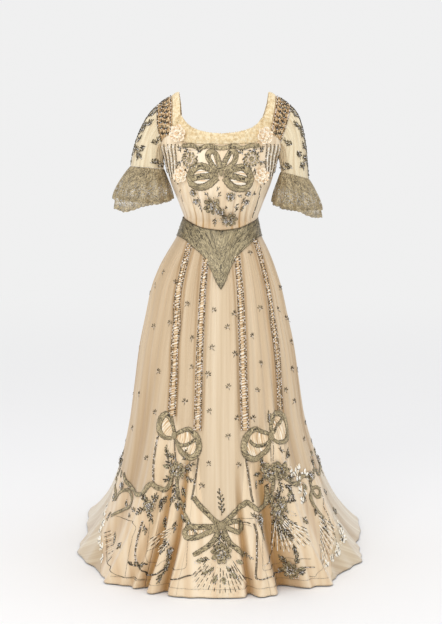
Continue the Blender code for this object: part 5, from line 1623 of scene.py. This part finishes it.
# Lines of beads: size, gap, share of silver, rows abreast, path.
BEAD_LINES = (
    (0.0024, 0.0004, 0.35, 2, ((-0.175, 0.431), (-0.183, 0.391), (-0.187, 0.354), (-0.188, 0.322), (-0.187, 0.304))),
    (0.0022, 0.0004, 0.12, 2, ((-0.062, 0.380), (-0.067, 0.342), (-0.073, 0.305), (-0.080, 0.269))),
    (0.0022, 0.0004, 0.12, 2, ((0.068, 0.377), (0.073, 0.348), (0.078, 0.316), (0.083, 0.280), (0.088, 0.262))),
    (0.0024, 0.0005, 0.45, 2, ((-0.219, 0.191), (-0.228, 0.160), (-0.236, 0.128), (-0.240, 0.098), (-0.236, 0.070))),
    (0.0026, 0.0003, 0.15, 2, ((-0.228, 0.066), (-0.212, 0.052), (-0.199, 0.040), (-0.180, 0.058), (-0.163, 0.069),
                               (-0.150, 0.074))),
    (0.0024, 0.0004, 0.10, 2, ((-0.137, 0.046), (-0.117, 0.052), (-0.099, 0.059), (-0.084, 0.064))),
    (0.0016, 0.0010, 0.0, 1, ((-0.084, 0.064), (-0.068, 0.069), (-0.054, 0.076), (-0.041, 0.088))),
    (0.0014, 0.0016, 0.0, 1, ((-0.302, 0.170), (-0.279, 0.172), (-0.244, 0.180), (-0.249, 0.140), (-0.257, 0.103),
                              (-0.264, 0.064), (-0.269, 0.030))),
    (0.0014, 0.0016, 0.0, 1, ((-0.196, 0.206), (-0.200, 0.174), (-0.205, 0.130), (-0.208, 0.090), (-0.196, 0.078),
                              (-0.180, 0.078), (-0.164, 0.092), (-0.150, 0.098))),
    (0.0014, 0.0016, 0.0, 1, ((-0.087, 0.198), (-0.090, 0.165), (-0.093, 0.124), (-0.096, 0.086), (-0.115, 0.077),
                              (-0.135, 0.070))),
    (0.0014, 0.0014, 0.0, 1, ((-0.206, 0.110), (-0.186, 0.120), (-0.167, 0.128))),
    (0.0016, 0.0008, 0.0, 1, ((-0.333, 0.100), (-0.332, 0.075), (-0.328, 0.045), (-0.313, 0.039), (-0.291, 0.030),
                              (-0.269, 0.027), (-0.240, 0.031), (-0.214, 0.029))),
    (0.0024, 0.0004, 0.15, 2, ((0.091, 0.200), (0.098, 0.173), (0.098, 0.133), (0.097, 0.092), (0.096, 0.058),
                               (0.109, 0.051), (0.124, 0.051), (0.140, 0.054), (0.158, 0.042), (0.172, 0.054))),
    (0.0014, 0.0016, 0.0, 1, ((0.114, 0.188), (0.114, 0.153), (0.115, 0.113), (0.116, 0.075), (0.133, 0.074),
                              (0.154, 0.068), (0.169, 0.080))),
    (0.0022, 0.0006, 0.25, 1, ((0.142, 0.220), (0.142, 0.182), (0.142, 0.137), (0.140, 0.102), (0.130, 0.092),
                               (0.121, 0.086))),
    (0.0024, 0.0004, 0.30, 2, ((0.224, 0.064), (0.241, 0.060), (0.260, 0.060))),
    (0.0014, 0.0012, 0.0, 1, ((0.184, 0.091), (0.200, 0.090), (0.223, 0.086), (0.251, 0.084))),
    (0.0016, 0.0010, 0.0, 1, ((0.034, 0.100), (0.049, 0.077), (0.066, 0.052), (0.085, 0.048))),
    (0.0014, 0.0014, 0.0, 1, ((0.248, 0.034), (0.264, 0.032), (0.277, 0.048), (0.281, 0.076), (0.280, 0.105))),
    (0.0014, 0.0012, 0.0, 1, ((0.056, 0.217), (0.070, 0.218), (0.096, 0.215))),
    (0.0020, 0.0004, 0.1, 2, ((0.057, 0.205), (0.068, 0.208), (0.078, 0.204))),
    (0.0014, 0.0012, 0.0, 1, ((0.057, 0.198), (0.070, 0.201), (0.082, 0.196))),
    (0.0018, 0.0008, 0.3, 1, ((0.289, 0.250), (0.295, 0.210), (0.309, 0.174), (0.322, 0.136), (0.334, 0.096),
                              (0.333, 0.068), (0.320, 0.045))),
    (0.0020, 0.0008, 0.5, 1, ((-0.124, 0.315), (-0.122, 0.285), (-0.116, 0.258), (-0.104, 0.232))),
    (0.0020, 0.0008, 0.8, 1, ((0.139, 0.315), (0.141, 0.285), (0.142, 0.255), (0.142, 0.230))),
    (0.0020, 0.0008, 0.2, 1, ((0.149, 0.315), (0.149, 0.285), (0.150, 0.255))),
    (0.0018, 0.0006, 0.2, 2, ((-0.128, 0.425), (-0.127, 0.395), (-0.123, 0.365))),
    (0.0018, 0.0006, 0.2, 1, ((0.138, 0.425), (0.137, 0.395), (0.138, 0.366))),
    (0.0018, 0.0006, 0.2, 1, ((0.143, 0.423), (0.146, 0.395), (0.144, 0.366))),
)
# Fans of rays: finish of the cords (4 white, 5 cream), where the rays start and end, how many are dark.
RAY_FANS = (
    (5, ((-0.034, 0.108), (-0.020, 0.094), (-0.001, 0.088), (0.017, 0.094), (0.030, 0.108)),
     ((-0.082, 0.062), (-0.062, 0.022), (-0.003, 0.011), (0.048, 0.016), (0.068, 0.046)), 15),
    (4, ((0.178, 0.212), (0.172, 0.200), (0.166, 0.192), (0.158, 0.190), (0.150, 0.196)),
     ((0.252, 0.152), (0.248, 0.124), (0.212, 0.112), (0.176, 0.106), (0.136, 0.108)), 11),
    (4, ((0.277, 0.190), (0.279, 0.168), (0.281, 0.146), (0.283, 0.124), (0.284, 0.100)),
     ((0.331, 0.132), (0.334, 0.102), (0.322, 0.074), (0.304, 0.054), (0.288, 0.042)), 10),
    (5, ((-0.134, 0.188), (-0.137, 0.172), (-0.142, 0.150)), ((-0.198, 0.140), (-0.194, 0.118), (-0.172, 0.106)), 6),
    (5, ((-0.312, 0.128), (-0.308, 0.100), (-0.306, 0.074)), ((-0.345, 0.108), (-0.342, 0.074), (-0.326, 0.046)), 6),
)
BROAD_LEAVES = (
    (-0.034, 0.078, 0.024, 215), (-0.048, 0.106, 0.026, 195), (-0.012, 0.066, 0.026, 250), (0.004, 0.062, 0.024, 285),
    (0.026, 0.074, 0.026, -50), (0.040, 0.104, 0.024, -25), (-0.020, 0.088, 0.020, 230), (0.014, 0.090, 0.020, -60),
    (0.150, 0.262, 0.022, 150), (0.172, 0.256, 0.024, 25), (0.186, 0.262, 0.022, 50), (0.150, 0.230, 0.024, 225),
    (0.168, 0.206, 0.022, 250), (0.180, 0.224, 0.024, -40), (0.132, 0.352, 0.022, 160), (0.176, 0.350, 0.022, 20),
    (0.224, 0.292, 0.026, 70), (0.244, 0.262, 0.026, 110), (0.214, 0.056, 0.024, 5), (0.176, 0.050, 0.024, 175),
    (-0.144, 0.346, 0.020, 160), (-0.100, 0.350, 0.020, 20), (-0.290, 0.280, 0.024, 110), (-0.274, 0.252, 0.024, 30),
)
PALE_LEAVES = (
    (-0.352, 0.120, 100), (-0.356, 0.102, 170), (-0.352, 0.084, 210), (-0.346, 0.064, 190), (-0.342, 0.044, 240),
    (-0.350, 0.130, 60), (-0.348, 0.146, 120), (-0.344, 0.160, 60), (0.347, 0.090, -60), (0.339, 0.076, 200),
    (0.352, 0.104, 40), (0.330, 0.060, -20), (0.316, 0.048, 10), (0.304, 0.042, 80), (0.345, 0.070, 120),
    (0.350, 0.120, 80), (0.356, 0.086, 20), (0.340, 0.050, 60), (0.236, 0.300, 60), (0.212, 0.310, 80),
    (0.226, 0.262, 110), (0.240, 0.246, 70), (0.232, 0.230, 100), (0.214, 0.292, 20), (0.222, 0.322, 120),
    (0.250, 0.286, 60), (0.200, 0.324, 150),
)

# %% The hem's embroidery
leaves, small, rings = [], [], []
for x, height, radius, petals in BLOSSOMS:
    bearing = bearing_of(skirt_ground, x, height).item()
    more_petals, more_beads = blossom(bearing, height, radius * 1.2, petals, chance.uniform(0, 60), 0.42)
    rings += more_petals
    small += more_beads
for x, height, length, angle, pairs, leaf in SPRAYS:
    leaves += spray(bearing_of(skirt_ground, x, height).item(), height, length, angle, pairs, leaf)
for x, height, length, angle in BROAD_LEAVES:
    leaves += broad_leaf(bearing_of(skirt_ground, x, height).item(), height, length, angle)
for size, gap, silver, abreast, path in BEAD_LINES:
    small += beads(skirt_ground, on_cloth(skirt_ground, path), size * 1.35, gap * 1.2, silver, abreast)
for cord, starts, ends, count in RAY_FANS:
    leaves += fan(skirt_ground, starts, ends, count, cord)
for x, height, angle in PALE_LEAVES:
    bearing = bearing_of(skirt_ground, x, height).item()
    for turn, length in ((0, 0.026), (-45, 0.021), (45, 0.021)):
        leaves.append(row(bearing, height, 0, 0, angle + turn, length, length * 0.46, 0.0024, kind=4))
    leaves.append(row(bearing, height, 0, 0, angle + 20, 0.016, 0.0020, 0.0016, lift=0.002, kind=1))

# Sides and back: under every swag a blossom at its top and sprays below it.
for side in (-1, 1):
    for turn in np.arange(83.5, 178, SWAG_TURN):
        more_petals, more_beads = blossom(side * (turn + 9.5), 0.298, 0.020, 7, 0, 0.4)
        rings += more_petals
        small += more_beads
        for angle, length in ((-90, 0.050), (-40, 0.032), (-140, 0.032), (60, 0.024), (120, 0.024)):
            leaves += spray(side * (turn + 9.5), 0.298 + 0.016 * math.sin(math.radians(angle)), length, angle, 3, 0.013)
FRONT_HEM = [(turn, 0.026) for turn in np.linspace(-40, 38, 40)]
small += beads(skirt_ground, FRONT_HEM, 0.0018, 0.0018, 0.0)
sew("hem_leaves", LEAF_SHAPE, skirt_ground, leaves, [LEAF, BRONZE, OLIVE_LEAF, SILVER, PALE_LEAF, CREAM_CORD])
sew("hem_beads", BEAD, skirt_ground, small, [BRONZE, SILVER])
sew("hem_petals", PETAL_SHAPE, skirt_ground, rings, [TAPE_LACE, LEAF], rim=0.62)

# %% [markdown]
# ### The bodice's embroidery
# Two beaded blossoms stand beside the bow's upper loops, and sprays with silver hearts fill the pouched
# front. Under each strap the bust panel has close stripes of dark beads and cream cord.

# %% Bodice embroidery
leaves, small, rings, cords = [], [], [], []
BODICE_BLOSSOMS = (
    (-0.024, 1.070, 0.0280, 8), (0.021, 1.030, 0.0270, 8), (0.027, 1.094, 0.0140, 6), (-0.076, 1.104, 0.0110, 5),
    (0.074, 1.102, 0.0090, 5), (-0.002, 1.052, 0.0140, 6), (0.070, 1.078, 0.0090, 5), (-0.070, 1.080, 0.0090, 5),
)
BODICE_WREATHS = ((-0.087, 1.194, 0.0230), (0.083, 1.196, 0.0230))
BODICE_SPRAYS = (
    (-0.087, 1.212, 0.018, 120, 2, 0.009), (-0.108, 1.190, 0.018, 200, 2, 0.009), (-0.066, 1.210, 0.018, 40, 2, 0.009),
    (-0.096, 1.172, 0.018, -110, 2, 0.009), (-0.110, 1.214, 0.016, 100, 2, 0.008), (0.083, 1.214, 0.018, 60, 2, 0.009),
    (0.105, 1.192, 0.018, -20, 2, 0.009), (0.060, 1.208, 0.018, 140, 2, 0.009), (0.092, 1.172, 0.020, -60, 2, 0.009),
    (0.106, 1.213, 0.016, 80, 2, 0.008), (-0.034, 1.092, 0.014, 120, 1, 0.009), (-0.010, 1.092, 0.012, 55, 1, 0.008),
    (0.000, 1.044, 0.016, -30, 1, 0.009), (-0.016, 1.034, 0.022, -100, 2, 0.009), (0.038, 1.050, 0.014, 70, 1, 0.008),
    (-0.012, 1.108, 0.010, 60, 1, 0.007), (-0.066, 1.092, 0.012, -60, 1, 0.008), (-0.062, 1.076, 0.024, -78, 2, 0.007),
    (0.068, 1.092, 0.014, -110, 1, 0.008), (0.064, 1.070, 0.018, -100, 2, 0.007), (0.086, 1.096, 0.010, 60, 1, 0.008),
    (0.036, 1.064, 0.010, 30, 1, 0.007), (0.020, 1.062, 0.008, 170, 1, 0.006), (0.046, 1.098, 0.010, -20, 1, 0.007),
)
for x, height, radius, petals in BODICE_BLOSSOMS:
    bearing = bearing_of(bodice_ground, x, height).item()
    more_petals, more_beads = blossom(bearing, height, radius, petals, chance.uniform(0, 50), 0.42, 0.35)
    rings += more_petals
    small += more_beads
for x, height, radius in BODICE_WREATHS:
    more = wreath(bearing_of(bodice_ground, x, height).item(), height, radius)
    leaves, rings, small = leaves + more[0], rings + more[1], small + more[2]
for x, height, length, angle, pairs, leaf in BODICE_SPRAYS:
    leaves += spray(bearing_of(bodice_ground, x, height).item(), height, length, angle, pairs, leaf)
BODICE_LINES = (
    (0.0030, 0.0004, 0.05, 1, ((0.110, 1.122), (0.107, 1.098), (0.101, 1.075), (0.093, 1.050), (0.088, 1.034))),
    (0.0022, 0.0010, 0.05, 1, ((-0.113, 1.112), (-0.111, 1.096), (-0.107, 1.080))),
    (0.0022, 0.0003, 0.60, 1, ((-0.050, 1.222), (-0.072, 1.220), (-0.094, 1.222), (-0.112, 1.228))),
    (0.0022, 0.0003, 0.60, 1, ((0.050, 1.222), (0.072, 1.220), (0.094, 1.222), (0.112, 1.226))),
)
for size, gap, silver, abreast, path in BODICE_LINES:
    small += beads(bodice_ground, on_cloth(bodice_ground, path), size, gap, silver, abreast)
for side in (-1, 1):
    for number in range(9):
        x_top, x_low = 0.1260 + 0.0054 * number, 0.1200 + 0.0038 * number
        path = on_cloth(bodice_ground, [(side * x_top, 1.236), (side * (x_top + x_low) / 2, 1.188),
                                        (side * x_low, 1.128 + 0.004 * number)])
        if number % 2:
            cords += dashes(bodice_ground, path, 0.0120, -0.0040, 0.0058, kind=0)
        else:
            small += beads(bodice_ground, path, 0.0038, 0.0004, 0.12)
sew("bodice_leaves", LEAF_SHAPE, bodice_ground, leaves, [LEAF, BRONZE, OLIVE_LEAF, SILVER])
sew("bodice_beads", BEAD, bodice_ground, small, [BRONZE, SILVER])
sew("bodice_petals", PETAL_SHAPE, bodice_ground, rings, [TAPE_LACE, LEAF], rim=0.62)
sew("bodice_cords", LEAF_SHAPE, bodice_ground, cords, [PALE_LEAF])

# %% [markdown]
# ### Straps and sleeves
# Each strap is gold cloth under rows of dark sequin leaves, with a line of beads along both edges. The
# net sleeve has small leafy sprigs and a column of sequins that marks its outer line.

# %% Straps
STRAP_REACH = (0.01, 0.004)
for label, side in (("right", -1), ("left", 1)):
    leaves, small = [], []
    for number in range(19):
        place = 0.02 + 0.95 * number / 18
        for u, angle in ((0.36, 90), (0.66, 90)):
            shift = 0.025 if u > 0.5 else 0.0
            for spread in (-58, 0, 58):
                leaves += leaf_row(u, place + shift, 0, 0, angle + spread + chance.uniform(-12, 12), 0.0120,
                                   1)[:1 + int(chance.random() < 0.3)]
            small.append(row(u, place + shift, 0, 0, length=0.0036, thick=0.0032,
                             kind=int(chance.random() < 0.7)))
    for u in (0.07, 0.93):
        for place in np.linspace(0.005, 0.995, 64):
            small.append(row(u, place, 0, 0, length=0.0040, thick=0.0034, kind=int(chance.random() < 0.45)))
    for motif, name, rows in ((LEAF_SHAPE, "_leaves", leaves), (BEAD, "_beads", small)):
        sew("shoulder_strap_" + label + name, motif, strap(side), rows,
            [LEAF, BRONZE, OLIVE_LEAF, SILVER] if motif is LEAF_SHAPE else [BRONZE, SILVER], turn=side,
            reach=STRAP_REACH, lowest=0.0)

# %% Sleeves
SLEEVE_REACH = (0.002, 0.006)
SLEEVE_SPRAYS = (
    (0.42, 0.14, 0.020, 80, 3), (0.46, 0.22, 0.022, 130, 3), (0.45, 0.38, 0.022, 150, 3), (0.46, 0.54, 0.022, 120, 3),
    (0.45, 0.74, 0.024, 160, 4), (0.42, 0.82, 0.026, 60, 4), (0.54, 0.14, 0.020, 100, 3), (0.53, 0.22, 0.022, 50, 3),
    (0.55, 0.38, 0.022, 30, 3), (0.53, 0.54, 0.022, 60, 3), (0.55, 0.74, 0.024, 20, 4), (0.58, 0.82, 0.026, 120, 4),
    (0.38, 0.30, 0.020, 100, 3), (0.40, 0.46, 0.020, 60, 3), (0.30, 0.56, 0.018, -60, 3), (0.43, 0.64, 0.022, 110, 3),
    (0.22, 0.86, 0.030, 150, 5), (0.30, 0.84, 0.026, 30, 4), (0.36, 0.90, 0.022, 100, 3), (0.14, 0.90, 0.024, 160, 3),
    (0.20, 0.30, 0.016, 80, 2), (0.26, 0.40, 0.014, 140, 2),
    (0.62, 0.30, 0.020, 80, 3), (0.60, 0.46, 0.020, 120, 3), (0.70, 0.56, 0.018, 60, 3), (0.57, 0.64, 0.022, 70, 3),
    (0.78, 0.86, 0.030, 30, 5), (0.70, 0.84, 0.026, 150, 4), (0.64, 0.90, 0.022, 80, 3), (0.86, 0.90, 0.024, 20, 3),
)
for entry in SLEEVES:
    label, side = entry[0], entry[1]
    leaves, small = [], []
    for u, v, length, angle, pairs in SLEEVE_SPRAYS:
        leaves += spray(u, v, length * 1.1, angle if side > 0 else 180 - angle, pairs, 0.0095)
    for v in np.linspace(0.03, 0.99, 40):
        for angle in (60, 120):
            leaves.append(row(0.485 + 0.014 * chance.uniform(-1, 1), v, 0, 0, angle + chance.uniform(-40, 40), 0.0115,
                              0.0050, 0.0020, kind=int(chance.random() < 0.6)))
        small.append(row(0.485 + 0.014 * chance.uniform(-1, 1), v, 0, 0, length=0.0030, thick=0.0028,
                         kind=int(chance.random() < 0.4)))
    for motif, name, rows in ((LEAF_SHAPE, "_leaves", leaves), (BEAD, "_beads", small)):
        sew("sleeve_" + label + name, motif, sleeve(entry), rows,
            [LEAF, BRONZE, OLIVE_LEAF, SILVER] if motif is LEAF_SHAPE else [BRONZE, SILVER], turn=side, rise=-1,
            reach=SLEEVE_REACH, lowest=0.0)

# %% [markdown]
# ## Silk flowers
# Four clusters of small silk flowers sit at the corners of the bust. Each cluster is a handful of five-petal
# flowers that overlap, pale in the middle of each petal and orange at its rim.

# %% Silk flowers
PETAL_EDGE = plain_finish("flower_edge", (0.66, 0.34, 0.14), 0.7)
ROSETTES = (
    ("rosette_upper_right", -0.117, 1.266, 0.0250), ("rosette_upper_left", 0.119, 1.261, 0.0240),
    ("rosette_lower_right", -0.111, 1.152, 0.0215), ("rosette_lower_left", 0.110, 1.150, 0.0225),
)
FLOWER_CENTRES = ((0.0, 0.0), (0.58, 15), (0.60, 75), (0.56, 135), (0.60, 195), (0.57, 255), (0.58, 315))


def free_ground(centre, facing):
    """A flat ground through one place, for what stands clear of the cloth."""
    outward = unit(np.array(facing, float))
    right = unit(np.cross(np.array([0, 0, 1.0]), outward))
    up = np.cross(outward, right)

    def ground(a, b):
        a, b = np.asarray(a, float)[..., None], np.asarray(b, float)[..., None]
        return np.asarray(centre, float) + a * right + b * up
    return ground


for name, x, height, radius in ROSETTES:
    node = bpy.data.objects.get(name)
    bearing = bearing_of(bodice_ground, x, min(height, 1.236)).item()
    spot = bodice_point(bearing, min(height, 1.236), 1.0)
    outward = np.array([0.7 * x, -0.20, 0.0])
    centre = np.array([x, spot[1] - 0.004, height]) + unit(outward) * 0.002
    ground = free_ground(centre, outward)
    rows = []
    for number, (share, turn) in enumerate(FLOWER_CENTRES):
        cx, cy = share * radius * math.cos(math.radians(turn)), share * radius * math.sin(math.radians(turn))
        size = radius * (0.52 if number else 0.60)
        for layer, (reach, count, tilt) in enumerate(((1.0, 5, 18), (0.6, 4, 48))):
            for petal in range(count):
                angle = 23 * number + 360 * (petal + 0.5 * layer) / count + chance.uniform(-10, 10)
                rows.append(row(cx, cy, 0, 0, angle, size * reach, size * reach * 1.05, size * 0.55,
                                lift=0.0022 * (1 - share) + 0.0012 * layer, tilt=tilt))
    sew(name + "_petals", PETAL_SHAPE, ground, rows, [PETAL, PETAL_EDGE], [name],
        reach=(0.001, 0.001), rim=0.80, lowest=-1.0)
# %% [markdown]
# ## Light, floor and camera
# Soft daylight comes from all round, with one large lamp high in front. The floor is pale, and towards the
# distance it takes the colour of the light room behind it. The camera looks a little down on the dress.

# %% Floor
ROOM = (0.87, 0.87, 0.87)
FLOOR_BELOW = -SHOULDER_HEIGHT - 0.0005


def floor_finish():
    recipe = Recipe("pale_floor", Roughness=0.8)
    recipe.shader.inputs["Base Color"].default_value = (0.93, 0.93, 0.94, 1.0)
    recipe.shader.inputs["Specular IOR Level"].default_value = 0.1
    where = recipe.add("TexCoord").outputs["Object"]
    away = recipe.add("VectorMath", {"operation": "LENGTH"}, _0=where).outputs["Value"]
    far = recipe.add("MapRange", {"interpolation_type": "SMOOTHSTEP"}, Value=away)
    for socket, value in (("From Min", 1.5), ("From Max", 9.0)):
        far.inputs[socket].default_value = value
    glow = recipe.add("Emission", Color=(*ROOM, 1.0), Strength=1.0)
    blend = recipe.add("MixShader", Fac=far.outputs["Result"])
    output = recipe.tree.nodes["Material Output"]
    recipe.tree.links.new(recipe.shader.outputs[0], blend.inputs[1])
    recipe.tree.links.new(glow.outputs[0], blend.inputs[2])
    recipe.tree.links.new(blend.outputs[0], output.inputs["Surface"])
    return recipe.material


bpy.ops.mesh.primitive_circle_add(vertices=64, radius=150.0, fill_type="NGON", location=(0, 0, 0))
floor = bpy.context.object
floor.name = "floor"
for vertex in floor.data.vertices:
    vertex.co.z = FLOOR_BELOW
floor.data.materials.append(floor_finish())

# %% Light
world = bpy.data.worlds.new("room")
bpy.context.scene.world = world
world.use_nodes = True
world.node_tree.nodes["Background"].inputs["Color"].default_value = (*ROOM, 1.0)
world.node_tree.nodes["Background"].inputs["Strength"].default_value = 1.0


def lamp(name, place, aim, size, power, colour=(1.0, 1.0, 1.0)):
    data = bpy.data.lights.new(name, "AREA")
    data.shape, data.size, data.energy, data.color = "SQUARE", size, power, colour
    made = bpy.data.objects.new(name, data)
    bpy.context.scene.collection.objects.link(made)
    made.location = place
    made.rotation_euler = (Vector(aim) - Vector(place)).to_track_quat("-Z", "Y").to_euler()


lamp("key", (-1.0, -3.3, 1.5), (0, 0, -0.6), 1.5, 40.0, (1.0, 0.98, 0.95))
lamp("top", (0.5, -0.6, 2.4), (0, 0.1, -0.6), 2.0, 12.0)

# %% Camera
CAMERA_AWAY = 3.8
CAMERA_HEIGHT = 1.15
LOOKING_DOWN = 5.85
camera_data = bpy.data.cameras.new("camera")
camera_data.lens = 76.62
camera_data.sensor_width = 36.0
camera_data.sensor_fit = "AUTO"
camera = bpy.data.objects.new("camera", camera_data)
bpy.context.scene.collection.objects.link(camera)
camera.location = (0.0, -CAMERA_AWAY, CAMERA_HEIGHT - SHOULDER_HEIGHT)
camera.rotation_euler = (math.radians(90 - LOOKING_DOWN), 0.0, 0.0)
bpy.context.scene.camera = camera
bpy.context.scene.view_settings.view_transform = "Standard"
